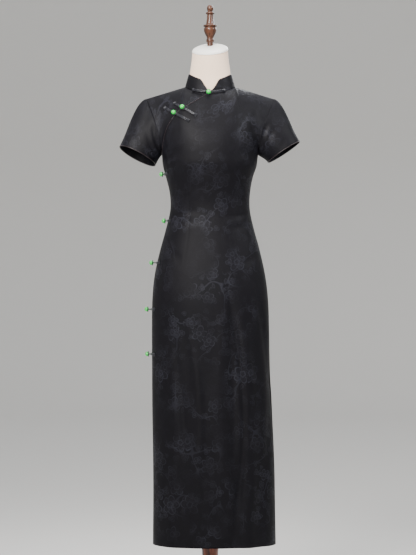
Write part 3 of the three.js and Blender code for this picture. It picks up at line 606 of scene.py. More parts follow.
def jacquard(add, colours):
    """Silk and rayon jacquard, woven in one black: a dull twill ground with outlined flower
    sprays in floats of smoother satin, which catch the light a little more. That sheen is
    painted: the flowers get a lighter colour than the ground, as well as a lower roughness."""
    sizes = bpy.context.scene.dress_sizes
    uv = add("UVMap", uv_map="Cloth")

    # The place is pushed about a few millimetres, so that no drawn line is quite regular.
    sway = add("TexNoise", {"Vector": uv, "Scale": 28.0, "Detail": 2.0})
    sway = add("VectorMath", sway.outputs["Color"], (0.5, 0.5, 0.5), operation="SUBTRACT")
    sway = add("VectorMath", {0: sway, "Scale": 0.011}, operation="SCALE")
    place = add("VectorMath", uv, sway, operation="ADD")
    flowers = add("VectorMath", {0: place, "Scale": 1 / (sizes.flower * MM)}, operation="SCALE")
    buds = add("VectorMath", flowers, (3.37, 7.71, 0), operation="ADD")
    buds = add("VectorMath", {0: buds, "Scale": 1.9}, operation="SCALE")
    stem = add("TexNoise", {"Vector": uv, "Scale": 11.0, "Detail": 0.6, "Roughness": 0.4})
    off = add("Math", stem, 0.5, operation="SUBTRACT")
    off = add("Math", off, operation="ABSOLUTE")
    motif = add("MapRange", off, 0.004, 0.009, 0.75, 0.0)
    for part in (woven_flower(add, flowers, 0.4, 2.5, 0.85),
                 woven_flower(add, buds, 0.3, 1.5, 0.95), woven_leaves(add, flowers, off)):
        motif = add("Math", motif, part, operation="MAXIMUM")

    # Sprays gather in drifts and show less between them.
    drift = add("TexNoise", {"Vector": uv, "Scale": 8.5, "Detail": 2.0})
    drift = add("MapRange", drift, 0.42, 0.62, 0.1, 1.0)
    shown = add("Math", motif, drift, operation="MULTIPLY")

    # Threads: a fine diagonal rib for the twill ground, and slubs across it.
    rib = add("TexWave", {"Vector": uv, "Scale": 1 / (sizes.thread * MM * 6.2832),
                          "Distortion": 0.4, "Detail": 1.0, "Detail Scale": 2.0},
              bands_direction="DIAGONAL")
    wide = add("Mapping", {"Vector": uv, "Scale": (120.0, 900.0, 1.0)})
    slub = add("TexNoise", {"Vector": wide, "Scale": 1.0, "Detail": 2.0})

    # The flowers' lighter colour is painted sheen of the satin floats; the cloth itself is one
    # black.
    tone = add("MixRGB", shown, rgba(colours.ground), rgba(colours.flowers))
    shade = add("MapRange", slub, 0.3, 0.7, 0.8, 1.2)
    base = add("VectorMath", {0: tone, "Scale": shade}, operation="SCALE")
    rough = add("MapRange", {0: shown, 3: 0.54, 4: 0.4})
    height = add("Math", rib.outputs["Fac"], 0.3, shown, operation="MULTIPLY_ADD")
    height = add("Math", slub, 0.3, height, operation="MULTIPLY_ADD")
    bump = add("Bump", {"Height": height, "Strength": 0.5, "Distance": 0.0003})
    return add("BsdfPrincipled", {"Base Color": base, "Roughness": rough, "Normal": bump,
                                  "IOR": 1.45, "Specular IOR Level": 0.13})


def woven_cells(add, place, randomness):
    """Voronoi cells, one for each motif, and the place within its own cell."""
    cells = add("TexVoronoi", {"Vector": place, "Scale": 1.0, "Randomness": randomness},
                voronoi_dimensions="2D")
    return cells, add("VectorMath", place, cells.outputs["Position"], operation="SUBTRACT")


def woven_line(add, value, at, inner, outer, strength):
    """A line drawn where a value is nearly the one given, full within inner of it."""
    away = add("Math", value, at, operation="SUBTRACT")
    away = add("Math", away, operation="ABSOLUTE")
    return add("MapRange", away, inner, outer, strength, 0.0)


def woven_flower(add, place, radius, petals, randomness):
    """One flower in each Voronoi cell, drawn in line. Its edge is a circle whose radius swells
    at the petals with the cosine of the angle; lines part the petals, and a ring lies in the
    middle."""
    cells, local = woven_cells(add, place, randomness)
    x, y = add("SeparateXYZ", local).outputs[:2]
    turned_by, sized_by = add("SeparateColor", cells.outputs["Color"]).outputs[:2]
    angle = add("Math", y, x, operation="ARCTAN2")
    wave = add("Math", turned_by, 6.2832, angle, operation="MULTIPLY_ADD")
    wave = add("Math", wave, petals, operation="MULTIPLY")
    wave = add("Math", wave, operation="COSINE")
    wave = add("Math", wave, operation="ABSOLUTE")
    size = add("MapRange", {0: sized_by, 3: 0.6 * radius, 4: 1.1 * radius})
    edge = add("MapRange", {0: wave, 3: 0.6, 4: 1.0})
    edge = add("Math", edge, size, operation="MULTIPLY")
    far = add("Math", cells.outputs["Distance"], edge, operation="DIVIDE")
    drawn = add("MapRange", far, 0.9, 0.96, 0.14, 0.0)
    for middle, line, strength in ((1.0, 0.05, 1.0), (0.34, 0.06, 0.9), (0.66, 0.03, 0.3)):
        ring = woven_line(add, far, middle, line, 1.8 * line, strength)
        drawn = add("Math", drawn, ring, operation="MAXIMUM")
    part = add("MapRange", wave, 0.1, 0.26, 0.8, 0.0)
    within = add("MapRange", far, 0.9, 1.0, 1.0, 0.0)
    part = add("Math", part, within, operation="MULTIPLY")
    return add("Math", drawn, part, operation="MAXIMUM")


def woven_leaves(add, place, off):
    """Leaves near the stems: in each small cell the outline and the vein of a lens, whose
    half-width shrinks with the square of the distance along it, turned at random."""
    close = add("VectorMath", {0: place, "Scale": 2.9}, operation="SCALE")
    cells, local = woven_cells(add, close, 0.85)
    chance = add("SeparateColor", cells.outputs["Color"])
    turn = add("Math", chance, 6.2832, operation="MULTIPLY")
    leaf = add("VectorRotate", {"Vector": local, "Angle": turn}, rotation_type="Z_AXIS")
    x, y = add("SeparateXYZ", leaf).outputs[:2]
    along = add("Math", x, 1.15, operation="MULTIPLY")
    along = add("Math", along, along, operation="MULTIPLY")
    wide = add("Math", 0.22, along, operation="SUBTRACT")
    aside = add("Math", y, operation="ABSOLUTE")
    inside = add("Math", wide, aside, operation="SUBTRACT")
    edge = woven_line(add, inside, 0.03, 0.02, 0.045, 0.9)
    vein = add("MapRange", aside, 0.012, 0.03, 0.7, 0.0)
    within = add("MapRange", inside, 0.0, 0.02, 0.0, 1.0)
    vein = add("Math", vein, within, operation="MULTIPLY")
    leaf = add("Math", edge, vein, operation="MAXIMUM")
    near = add("MapRange", off, 0.05, 0.06, 1.0, 0.0)
    return add("Math", leaf, near, operation="MULTIPLY")


def satin(add, colours, tint):
    """Bias-cut satin rolled into piping and cord: tight, smooth and lustrous, with the twist
    of its weave running round it as bumps and as painted sheen along its ridges."""
    tint = getattr(colours, tint)
    place = add("TexCoord").outputs["Object"]
    twist = add("TexWave", {"Vector": place, "Scale": 130.0, "Distortion": 1.5},
                bands_direction="DIAGONAL").outputs["Fac"]
    bump = add("Bump", {"Height": twist, "Strength": 0.45, "Distance": 0.0004})
    # The twist's bands are painted up to nearly twice as light: painted sheen on the cord's ridges
    # over one dark satin.
    tone = add("MixRGB", twist, rgba(tint), rgba([1.9 * part for part in tint]))
    return add("BsdfPrincipled", {
        "Base Color": tone, "Roughness": 0.28, "Normal": bump, "IOR": 1.5,
        "Specular IOR Level": 0.45, "Sheen Weight": 0.08, "Sheen Roughness": 0.3})


def green_glass(add, colours):
    """Polished green glass bead: clear bright green with soft cloudy veins, a wet gloss and a
    painted glow from emission.
    """
    place = add("TexCoord").outputs["Object"]
    cloud = add("TexNoise", {"Vector": place, "Scale": 160.0, "Detail": 3.0})
    tone = add("MixRGB", cloud, rgba(colours.bead), linear("#19cb4b", True))
    # The emission is a painted glow: the bead is no lamp, and this only brightens its green.
    return add("BsdfPrincipled", {
        "Base Color": tone, "Roughness": 0.08, "IOR": 1.55, "Subsurface Weight": 0.25,
        "Subsurface Radius": (0.002, 0.006, 0.002), "Coat Weight": 0.8, "Coat Roughness": 0.04,
        "Emission Color": tone, "Emission Strength": 0.35})


def cotton(add, colours):
    """Close-woven unbleached cotton, stretched over the form: matt, with a fine plain weave
    and slight pinkish unevenness."""
    place = add("TexCoord").outputs["Object"]
    cloud = add("TexNoise", {"Vector": place, "Scale": 18.0, "Detail": 3.0})
    tone = add("MixRGB", cloud, rgba(colours.cotton), linear("#f9d7bd", True))
    warp, weft = (
        add("TexWave", {"Vector": place, "Scale": 160.0}, bands_direction=way).outputs["Fac"]
        for way in "XZ")
    weave = add("Math", warp, weft, operation="ADD")
    bump = add("Bump", {"Height": weave, "Strength": 0.35, "Distance": 0.0002})
    return add("BsdfPrincipled", {"Base Color": tone, "Roughness": 0.88, "Normal": bump,
                                  "Sheen Weight": 0.2, "Sheen Roughness": 0.6})


def white_paint(add, colours):
    """White satin paint over turned wood, with the faint marks of a brush."""
    place = add("TexCoord").outputs["Object"]
    marks = add("TexNoise", {"Vector": place, "Scale": 60.0, "Detail": 4.0})
    rough = add("MapRange", {0: marks, 3: 0.34, 4: 0.5})
    bump = add("Bump", {"Height": marks, "Strength": 0.12, "Distance": 0.0004})
    tone = add("MixRGB", marks, rgba(colours.cap), linear("#eae6df", True))
    return add("BsdfPrincipled", {"Base Color": tone, "Roughness": rough, "Normal": bump,
                                  "IOR": 1.5, "Coat Weight": 0.2, "Coat Roughness": 0.25})


def varnished_wood(add, colours, tint, dark, stretch):
    """Turned hardwood under gloss varnish: long grain along the axis whose scale is least,
    darker in its pores, and a smooth clear coat over it."""
    place = add("TexCoord").outputs["Object"]
    long = add("Mapping", {"Vector": place, "Scale": stretch})
    grain = add("TexNoise", {"Vector": long, "Scale": 240.0, "Detail": 5.0, "Distortion": 0.3})
    bands = add("TexNoise", {"Vector": long, "Scale": 45.0, "Detail": 2.0})
    both = add("Math", grain, bands, operation="MULTIPLY")
    share = add("MapRange", both, 0.16, 0.34)
    tone = add("MixRGB", share, linear(dark, True), rgba(getattr(colours, tint)))
    rough = add("MapRange", {0: grain, 3: 0.42, 4: 0.3})
    bump = add("Bump", {"Height": grain, "Strength": 0.12, "Distance": 0.0003})
    return add("BsdfPrincipled", {
        "Base Color": tone, "Roughness": rough, "Normal": bump, "IOR": 1.45,
        "Specular IOR Level": 0.3, "Coat Weight": 0.4, "Coat Roughness": 0.1})


def studio_paper(add, colours):
    """Matt pale paper, as it comes off a wide roll."""
    return add("BsdfPrincipled", {"Base Color": linear("#dcdad6", True), "Roughness": 0.9})


# Each finish: its slot, the material's name, what builds it, and its settings.
UPRIGHT, FLAT = (1.0, 1.0, 0.07), (0.07, 1.0, 1.0)  # the grain's scale along x, y and z
FINISHES = {
    "jacquard": ("jacquard", "black_silk_jacquard", jacquard),
    "piping": ("satin", "dark_bias_satin", satin, "satin"),
    "cord": ("satin", "black_satin_cord", satin, "cord"),
    "bead": ("bead_green", "polished_green_glass", green_glass),
    "cotton": ("form_cloth", "cream_cotton_cover", cotton),
    "cap": ("cap_white", "white_satin_paint", white_paint),
    "finial": ("finial_wood", "dark_varnished_hardwood", varnished_wood, "finial", "#24150b",
               UPRIGHT),
    "pole": ("stand_wood", "red_varnished_hardwood", varnished_wood, "pole", "#3d1a10", UPRIGHT),
    "base": ("stand_wood", "red_varnished_board", varnished_wood, "pole", "#3d1a10", FLAT),
    "floor": (None, "pale_studio_paper", studio_paper),
}


# ---- Operators -----------------------------------------------------------------------


class Maker:
    """What every operator here shares."""

    bl_options = {"REGISTER", "UNDO"}


EDGE = 0.9992  # the panels stop this short of their side seams
TOP = 0.998  # and this short of their top edges


def panel_grid(face, start_across, columns, skirt_rows, chest_rows):
    """A front or back panel, from the hem to the top edge. Columns run so that the outside
    faces out, and above the underarm they start where start_across says."""
    share = np.linspace(0, 1, columns)
    z = np.linspace(HEM, UNDERARM, skirt_rows)[:-1, None]
    up = np.linspace(0, 1, chest_rows)[:, None]
    low = mix(-EDGE, EDGE, share)[None]
    start = np.maximum(start_across(up), -EDGE)
    high = mix(start, EDGE, share)
    if face == BACK:
        low, high = low[:, ::-1], high[:, ::-1]
    skirt = skirt_points(low, z, face)
    chest = chest_points(high, up * TOP, face)
    return np.concatenate([skirt, chest])


class DRESS_OT_front(Maker, bpy.types.Operator):
    """Makes the front, cut away along the slanting opening"""

    bl_idname = "dress.front"
    bl_label = "Front"

    def execute(self, context):
        grid = panel_grid(FRONT, opening_across, columns=132, skirt_rows=210, chest_rows=70)
        grid = darted(hanging(creased(grid, FRONT_CREASES)), FRONT)
        cloth_piece("front", grid, "front_panel")
        return {"FINISHED"}


class DRESS_OT_underlap(Maker, bpy.types.Operator):
    """Makes the small front that lies under the opening"""

    bl_idname = "dress.underlap"
    bl_label = "Underlap"

    def execute(self, context):
        up = np.linspace(0, 1, 70)[:, None]
        opening = opening_across(up)
        end = opening + OVERLAP * (1 - 0.8 * up**4)
        across = mix(-EDGE, end, np.linspace(0, 1, 56)[None])
        grid = chest_points(across, up * TOP, FRONT)
        depth = TUCK * smooth((across - opening + 0.4) / 0.32)
        grid = grid - grid_normals(grid) * depth[..., None]
        cloth_piece("underlap", grid, "underlap_panel")
        return {"FINISHED"}


class DRESS_OT_back(Maker, bpy.types.Operator):
    """Makes the back"""

    bl_idname = "dress.back"
    bl_label = "Back"

    def execute(self, context):
        grid = panel_grid(BACK, lambda up: 0 * up - EDGE, columns=124, skirt_rows=200,
                          chest_rows=64)
        grid = darted(hanging(creased(grid, BACK_CREASES)), BACK)
        cloth_piece("back", grid, "back_panel")
        return {"FINISHED"}


def sleeve_ends(turn, side):
    """Where a sleeve's lines start on the armhole and end on the cuff, and the way they
    arrive. Turn runs once round, from the shoulder tip by the front and the underarm."""
    cuff = CUFFS[side]
    up = np.abs(1 - 2 * turn)
    front, rear = (armhole_points(up, side, face) for face in (FRONT, BACK))
    start = np.where((turn < 0.5)[..., None], front, rear)
    outer, inner = (np.array([side * cuff[end][0], 0, cuff[end][1]]) for end in ("outer", "inner"))
    across = (outer - inner) / 2
    deep = np.array([0, -cuff["deep"], cuff["lift"] / 2])
    angle = (turn * 2 * np.pi)[..., None]
    end = (outer + inner) / 2 + across * np.cos(angle) + deep * np.sin(angle)
    away = unit(-side * np.array([-across[2], 0, across[0]]))
    return start, end, away


def sleeve_points(turn, along, side):
    """Each line of a sleeve is a cubic curve that leaves the armhole with the shoulder's
    slope and arrives square to the cuff."""
    turn, along = np.broadcast_arrays(turn, along)
    start, end, away = sleeve_ends(turn, side)
    chord = np.linalg.norm(end - start, axis=-1, keepdims=True)
    top = (1 + np.cos(turn * 2 * np.pi)) / 2
    leave = unit(points_of(side, 0, mix(-0.9, -0.34, top)))
    start = start + leave * 0.4
    near = start + leave * chord * CAP_FULLNESS / 3
    far = end - away * chord / 3
    s = along[..., None]
    r = 1 - s
    return r**3 * start + 3 * r**2 * s * near + 3 * r * s**2 * far + s**3 * end


class DRESS_OT_sleeves(Maker, bpy.types.Operator):
    """Makes the two short sleeves and the piping of their cuffs"""

    bl_idname = "dress.sleeves"
    bl_label = "Sleeves"

    def execute(self, context):
        sizes = context.scene.dress_sizes
        for side, name in ((RIGHT_ARM, "right"), (LEFT_ARM, "left")):
            turn = np.linspace(0, 1, 96, endpoint=False)[None]
            if side == RIGHT_ARM:
                turn = turn[:, ::-1]
            grid = sleeve_points(turn, np.linspace(0, 1, 56)[:, None], side)
            # The first row is turned in, and lies sewn under the body's edge.
            back, inward = unit(grid[0] - grid[1]), -grid_normals(grid, True)[0]
            head = grid[0] + back * SLEEVE_TUCK[0] + inward * SLEEVE_TUCK[1]
            grid = np.concatenate([head[None], grid])
            creases = [
                {**row, "x": side * row["x"], "to_x": side * row["to_x"]} for row in SLEEVE_CREASES
            ]
            grid = creased(grid, creases, closed=True)
            cloth_piece(f"sleeve_{name}_cloth", grid, f"sleeve_{name}",
                        closed=True)
            rim = grid[-1] - grid_normals(grid, True)[-1] * sizes.cloth_wall / 2
            facing = np.broadcast_to(sleeve_ends(np.zeros(1), side)[2], rim.shape)
            make_piece(f"cuff_piping_{name}_satin", tube(rim, facing, sizes.piping, closed=True),
                       "piping", f"cuff_piping_{name}")
        return {"FINISHED"}


def collar_points(turn, up):
    """Points of the collar: turn in degrees from the centre front, up as a share of its full
    height. It leans in a straight line from the neckline to its top ring."""
    turn, up = np.broadcast_arrays(np.asarray(turn, float), np.asarray(up, float))
    angle = np.radians(turn)
    near = -np.cos(angle)
    aside = np.arcsin(np.abs(np.sin(angle))) / (np.pi / 2)
    front, rear = (neckline_points(aside, face) for face in (FRONT, BACK))
    is_front = near < 0
    base = np.where(is_front[..., None], front, rear)
    base[..., 0] *= np.where(np.sin(angle) < 0, -1, 1)
    base[..., 2] += COLLAR_LIFT
    middle_y, middle_z = (
        np.where(is_front, COLLAR_TOP["front" + end], COLLAR_TOP["back" + end])
        for end in ("", "_z"))
    top = points_of(COLLAR_TOP["x"] * np.sin(angle), np.abs(near) * middle_y,
                    mix(COLLAR_TOP["side_z"], middle_z, near**2))
    return mix(base, top, up[..., None])


def collar_height(turn):
    """The share of the full height that the collar has, rounded away at the centre front."""
    aside = np.clip(np.minimum(turn, 360 - turn) / COLLAR_ROUND, 0, 1)
    return mix(COLLAR_LEAST, 1, smooth(aside))


class DRESS_OT_collar(Maker, bpy.types.Operator):
    """Makes the standing collar and its piping"""

    bl_idname = "dress.collar"
    bl_label = "Collar"

    def execute(self, context):
        eased = np.linspace(0, 1, 190)
        turn = mix(0.8, 359.2, eased - 0.045 * np.sin(2 * np.pi * eased * 2) / 2)
        up = np.linspace(0, 1, 22)[:, None]
        grid = collar_points(turn[None], up * collar_height(turn)[None])
        normals = grid_normals(grid)
        foot = grid[0] - normals[0] * COLLAR_FOOT[1] - np.array([0, 0, COLLAR_FOOT[0]])
        cloth_piece("collar_cloth", np.concatenate([foot[None], grid]), "collar",
                    wall=COLLAR_WALL)
        edge, facing = (
            np.concatenate([rows[:-1, 0], rows[-1], rows[-2::-1, -1]]) for rows in (grid, normals)
        )
        path = edge - facing * COLLAR_WALL / 2
        piping = tube(path, facing, context.scene.dress_sizes.piping + 0.1)
        make_piece("collar_piping_satin", piping, "piping", "collar_piping")
        return {"FINISHED"}


class DRESS_OT_opening(Maker, bpy.types.Operator):
    """Makes the satin piping of the slanting opening"""

    bl_idname = "dress.opening"
    bl_label = "Opening piping"

    def execute(self, context):
        sizes = context.scene.dress_sizes
        up = np.linspace(0.004, 1, 150)
        across = np.maximum(opening_across(up), -EDGE)
        columns = np.stack([across, across + 0.01], axis=-1)
        grid = chest_points(columns, (up * TOP)[:, None], FRONT)
        normals = grid_normals(grid)[:, 0]
        path = grid[:, 0] - normals * (sizes.cloth_wall / 2 - 0.25)
        make_piece("opening_piping_satin", tube(path, normals, sizes.piping * 0.8), "piping",
                   "opening_piping")
        return {"FINISHED"}


# ---- Frogs ---------------------------------------------------------------------------


def chest_at(x, z):
    """Places of the chest seen at x and z from the front, and their outward directions, by
    Newton's steps on how far across and how far up they are."""
    x, z = np.broadcast_arrays(np.asarray(x, float), np.asarray(z, float))
    across, up, small = x / 150, (z - UNDERARM) / 180, 1e-3
    for _ in range(30):
        here = chest_points(across, up, FRONT)
        by_across = (chest_points(across + small, up, FRONT) - here) / small
        by_up = (chest_points(across, up + small, FRONT) - here) / small
        cross = by_across[..., 0] * by_up[..., 2] - by_across[..., 2] * by_up[..., 0]
        miss_x, miss_z = x - here[..., 0], z - here[..., 2]
        across = across + (miss_x * by_up[..., 2] - miss_z * by_up[..., 0]) / cross
        up = up + (miss_z * by_across[..., 0] - miss_x * by_across[..., 2]) / cross
    return here, unit(np.cross(by_across, by_up))


def hairpin(centre, outward, spread, radius):
    """A doubled cord laid along a line: out on one side, round its end and back on the other,
    with a small wrapped knot near the end. Centre and outward are rows of points and ways."""
    step = unit(np.gradient(centre, axis=0))
    side = unit(np.cross(step, outward))
    lift = outward * radius
    out_run = centre + side * spread + lift
    back_run = centre - side * spread + lift
    turn = np.linspace(-np.pi / 2, np.pi / 2, 9)[1:-1, None]
    round_end = step[-1] * np.cos(turn) - side[-1] * np.sin(turn)
    bend = centre[-1] + lift[-1] + round_end * spread
    path = np.concatenate([out_run, bend, back_run[::-1]])
    facing = np.concatenate([outward, np.repeat(outward[-1:], 7, axis=0), outward[::-1]])
    knot_at = len(centre) - 2
    full = 2 * np.pi * KNOT["turns"]
    coil = np.linspace(0, full, 60)[:, None]
    across = side[knot_at] * np.cos(coil) * (spread + radius * KNOT["wide"])
    ring = across + outward[knot_at] * np.sin(coil) * (radius * KNOT["high"])
    along = step[knot_at] * (coil / full - 0.5) * radius * KNOT["long"]
    middle = centre[knot_at] + outward[knot_at] * radius
    knot = tube(middle + ring + along, unit(ring), radius * KNOT["cord"], 8)
    return [tube(path, facing, radius), knot]


def loop_round(centre, outward, across, radius, cord, depth=0.5):
    """A closed ring of cord that holds a bead, square to the outward way and a share of the
    bead's radius behind its middle."""
    seat = centre - outward * radius * depth
    angle = full_turn(36)[:, None]
    ring = across * np.cos(angle) + np.cross(outward, across) * np.sin(angle)
    path = seat + ring * (radius * 1.02)
    return tube(path, np.broadcast_to(outward, ring.shape), cord * 0.8, 8, True)


def bead_mesh(centre, axis, radius):
    """A polished bead: a slightly flattened ball with a dimple at each end of its bore."""
    angle = np.linspace(0, np.pi, 33)
    ball = radius * (1 - 0.1 * np.exp(-((np.sin(angle) / 0.22) ** 2)))
    profile = np.stack([ball * np.sin(angle), -0.94 * ball * np.cos(angle)], axis=-1)
    around = full_turn(40)[:, None]
    one = unit(np.cross(axis, np.array([0.31, 0.2, 0.93])))
    two = np.cross(axis, one)
    ring = np.cos(around) * one + np.sin(around) * two
    grid = profile[:, None, :1] * ring[None] + profile[:, None, 1:] * axis
    return grid_shape(grid + centre, True)


def arm_piece(name, arm, path, facing, *others):
    """One arm of a frog: a doubled cord along a path, joined with its other cords."""
    cord = bpy.context.scene.dress_sizes.cord
    parts = [*hairpin(path, facing, cord * 1.05, cord), *others]
    make_piece(f"frog_{name}_{arm}_cord", joined(parts), "cord", f"frog_{name}_{arm}")


def bead_piece(name, outward):
    """A bead in its CAD node's place. Gives its middle and its radius."""
    node_name = f"frog_{name}_bead"
    low, high = box_mm(node_name)
    centre, radius = (low + high) / 2, (high - low).max() / 2
    shape = bead_mesh(centre, outward, radius)
    make_piece(f"bead_{name}", shape, "bead", node_name, weld=True)
    return centre, radius


class DRESS_OT_chest_frogs(Maker, bpy.types.Operator):
    """Makes the two frogs on the slanting opening"""

    bl_idname = "dress.chest_frogs"
    bl_label = "Chest frogs"

    def execute(self, context):
        cord = context.scene.dress_sizes.cord
        run, fall = np.cos(CHEST_FROG_SLOPE), np.sin(CHEST_FROG_SLOPE)
        for name, frog in CHEST_FROGS.items():
            _, outward = chest_at(frog["x"], frog["z"])
            centre, radius = bead_piece(name, outward)
            for arm, reach in (("arm_a", -frog["right"]), ("arm_b", frog["left"])):
                along = np.linspace(np.sign(reach) * (radius - 1.5), reach, 24)
                path, facing = chest_at(frog["x"] + along * run, frog["z"] - along * fall)
                path = path + facing * CORD_OFF
                loops = []
                if arm == "arm_a":
                    across = unit(path[-1] - path[0])
                    across = unit(across - outward * (across @ outward))
                    loops = [loop_round(centre, outward, across, radius, cord, 0.55)]
                arm_piece(name, arm, path, facing, *loops)
        return {"FINISHED"}


class DRESS_OT_collar_frog(Maker, bpy.types.Operator):
    """Makes the frog at the centre front of the collar"""

    bl_idname = "dress.collar_frog"
    bl_label = "Collar frog"

    def execute(self, context):
        outward, across = np.array([0.0, -1.0, 0.0]), np.array([1.0, 0.0, 0.0])
        centre, radius = bead_piece("collar", outward)
        loop = loop_round(centre, outward, across, radius, context.scene.dress_sizes.cord)
        away = np.linspace(COLLAR_FROG["gap"], COLLAR_FROG["reach"], 24)
        for arm, side, loops in (("arm_a", -1, [loop]), ("arm_b", 1, [])):
            path = collar_points((COLLAR_FROG["turn"] + side * away) % 360, np.zeros(24))
            facing = unit(path * np.array([1, 1, 0]))
            path = path + facing * COLLAR_FROG["off"] + np.array([0, 0, COLLAR_FROG["above"]])
            arm_piece("collar", arm, path, facing, *loops)
        return {"FINISHED"}


class DRESS_OT_side_frogs(Maker, bpy.types.Operator):
    """Makes the five frogs down the wearer's right side"""

    bl_idname = "dress.side_frogs"
    bl_label = "Side frogs"

    def execute(self, context):
        cord = context.scene.dress_sizes.cord
        outward, up = np.array([-1.0, 0.0, 0.0]), np.array([0.0, 0.0, 1.0])
        for name in SIDE_FROGS:
            centre, radius = bead_piece(name, outward)
            loop = loop_round(centre, outward, up, radius, cord)
            for arm, face, loops in (("arm_a", FRONT, [loop]), ("arm_b", BACK, [])):
                path = skirt_points(np.linspace(-1, SIDE_REACH, 22), centre[2], face)
                seam = path[0].copy()
                facing = unit(path * np.array([1, 1.6, 0]))
                path = path + facing * CORD_OFF
                path[0] = seam + outward * 0.6 + np.array([0, face * 1.2, 0])
                # A stem of cord runs from the seam out to the bead.
                stem_end = centre - outward * (radius * 0.6) + [0, face * 1.5, 0]
                share = np.linspace(0, 1, 8)[:, None]
                stem = mix(seam + np.array([0, face * 2.4, 0]), stem_end, share)
                stem = tube(stem, np.broadcast_to(up, stem.shape), cord)
                arm_piece(name, arm, path, facing, stem, *loops)
        return {"FINISHED"}


# ---- The dress form ------------------------------------------------------------------


def drawn_in(points):
    """The dress's own points, drawn in so that the form is clear of the cloth."""
    return points * np.array([*FORM_SCALE, 1]) - np.array([0, 0, FORM_DROP])


def form_rings(turn):
    """The neck from the form's neckline to its tilted top: rings by a table, each half an
    ellipse, their heights shared out between the neckline and the cap."""
    rings = []
    base = {face: drawn_in(neckline_points(turn, face)) for face in (FRONT, BACK)}
    start = {"share": 0, "half_width": base[FRONT][-1, 0],
             "front": base[FRONT][len(turn) // 2, 1], "back": base[BACK][len(turn) // 2, 1]}
    rows = [start, *NECK_RINGS]
    for share in np.linspace(0, 1, 26):
        halves = []
        for face, column in ((FRONT, "front"), (BACK, "back")):
            low = base[face]
            half_width = table_curve(rows, "share", share, "half_width")
            depth = table_curve(rows, "share", share, column)
            angle = turn * np.pi / 2
            side_y = low[-1, 1] * (1 - smooth(share / 0.5))
            y = side_y + (depth - side_y) * np.cos(angle)
            x = half_width * np.sin(angle)
            z = mix(low[:, 2], NECK_TOP_Z + x * CAP_LEAN[0] + y * CAP_LEAN[1], share)
            half = points_of(x, y, z)
            halves.append(half if face == FRONT else half[::-1])
        rings.append(np.concatenate([halves[0][:-1], halves[1][:-1]]))
    return np.stack(rings)


class DRESS_OT_form(Maker, bpy.types.Operator):
    """Makes the limbless form with its neck"""

    bl_idname = "dress.form"
    bl_label = "Form"

    def execute(self, context):
        shoulder = np.linspace(NECK_SHARE, 1, 16)
        neck_turn = np.linspace(-1, 1, 33)
        across = np.concatenate([-shoulder[:0:-1], neck_turn * NECK_SHARE, shoulder[1:]])
        bottom = box_mm("form_torso")[0][2]
        z = np.linspace(bottom + FORM_DROP, UNDERARM, 60)[:, None]
        up = np.linspace(0, 1, 24)[:, None]
        lines = ((FRONT, across[None]), (BACK, across[None, ::-1]))
        lower = np.concatenate(
            [drawn_in(skirt_points(line, z, face, False))[:, :-1] for face, line in lines], axis=1)
        parts = [grid_shape(lower, True)]
        parts += [grid_shape(drawn_in(chest_points(line, up, face))) for face, line in lines]
        for side in (RIGHT_ARM, LEFT_ARM):
            order = (FRONT, BACK) if side == LEFT_ARM else (BACK, FRONT)
            one, two = (drawn_in(armhole_points(up[:, 0], side, face)) for face in order)
            share = np.linspace(0, 1, 9)[None, :, None]
            plate = mix(one[:, None], two[:, None], share)
            plate[..., 0] += side * 2.5 * np.sin(np.pi * share[..., 0]) * np.sin(np.pi * up)
            parts.append(grid_shape(plate))
        neck = form_rings(neck_turn)
        parts.append(grid_shape(neck, True))
        for ring in (lower[0, ::-1], neck[-1]):
            middle = ring.mean(axis=0)
            share = np.linspace(1, 0, 4)[:, None, None]
            parts.append(grid_shape(middle + (ring - middle) * share, True))
        make_piece("form", joined(parts), "cotton", "form_torso", weld=True)
        return {"FINISHED"}


def sloped(points, share):
    """Slides points up or down to the slope of the neck's leaning top."""
    lean = points[:, 0] * CAP_LEAN[0] + points[:, 1] * CAP_LEAN[1]
    return points + points_of(0, 0, lean * share)


class DRESS_OT_cap(Maker, bpy.types.Operator):
    """Makes the white cap on the neck and the turned finial"""

    bl_idname = "dress.cap"
    bl_label = "Cap and finial"

    def execute(self, context):
        profile = [(0, 0.5), (30, 0.5), (49.8, 0.5), (50.5, 1.1), (50.6, 2.6), (49.6, 4.6),
                   (46.6, 7.2), (41, 9.9), (34, 12.2), (26, 13.9), (17, 14.9), (8, 15), (0, 15)]
        points, faces = turned(profile, 96)
        points = sloped(points * np.array([1, 0.94, 1]), 1)
        points[:, 2] += NECK_TOP_Z
        make_piece("neck_cap_painted", (points, faces), "cap", "neck_cap", weld=True)
        foot = NECK_TOP_Z + 15.4
        profile = [
            (0, foot), (5, foot), (8.0, foot), (8.4, foot + 0.5), (8.4, 1600.4), (8.8, 1601.4),
            (10.4, 1602.4), (10.9, 1604.2), (10.9, 1608.2), (10.3, 1610.2), (9.2, 1612.3),
            (9.5, 1615), (11.7, 1620), (15.2, 1627), (17.6, 1634.5), (17.8, 1639), (16.6, 1643),
            (14.9, 1644.6), (15.4, 1645.6), (18.6, 1646.6), (19.2, 1648.6), (18.6, 1650.4),
            (14, 1651.6), (12, 1653.6), (11, 1658), (9.4, 1667), (8.7, 1676), (8.6, 1680),
            (9.2, 1681.4), (11.7, 1682.4), (12.3, 1684.4), (11.7, 1686.4), (8.2, 1687.4),
            (7, 1688.9), (7.4, 1690.8), (8.7, 1694.5), (9.1, 1698.5), (8.4, 1702.6), (6.4, 1706),
            (3.1, 1707.7), (0, 1708),
        ]
        points, faces = turned(profile, 64, 5)
        points = sloped(points, np.clip((1602 - points[:, 2]) / (1602 - foot), 0, 1))
        make_piece("finial_turned", (points, faces), "finial", "finial", weld=True)
        return {"FINISHED"}


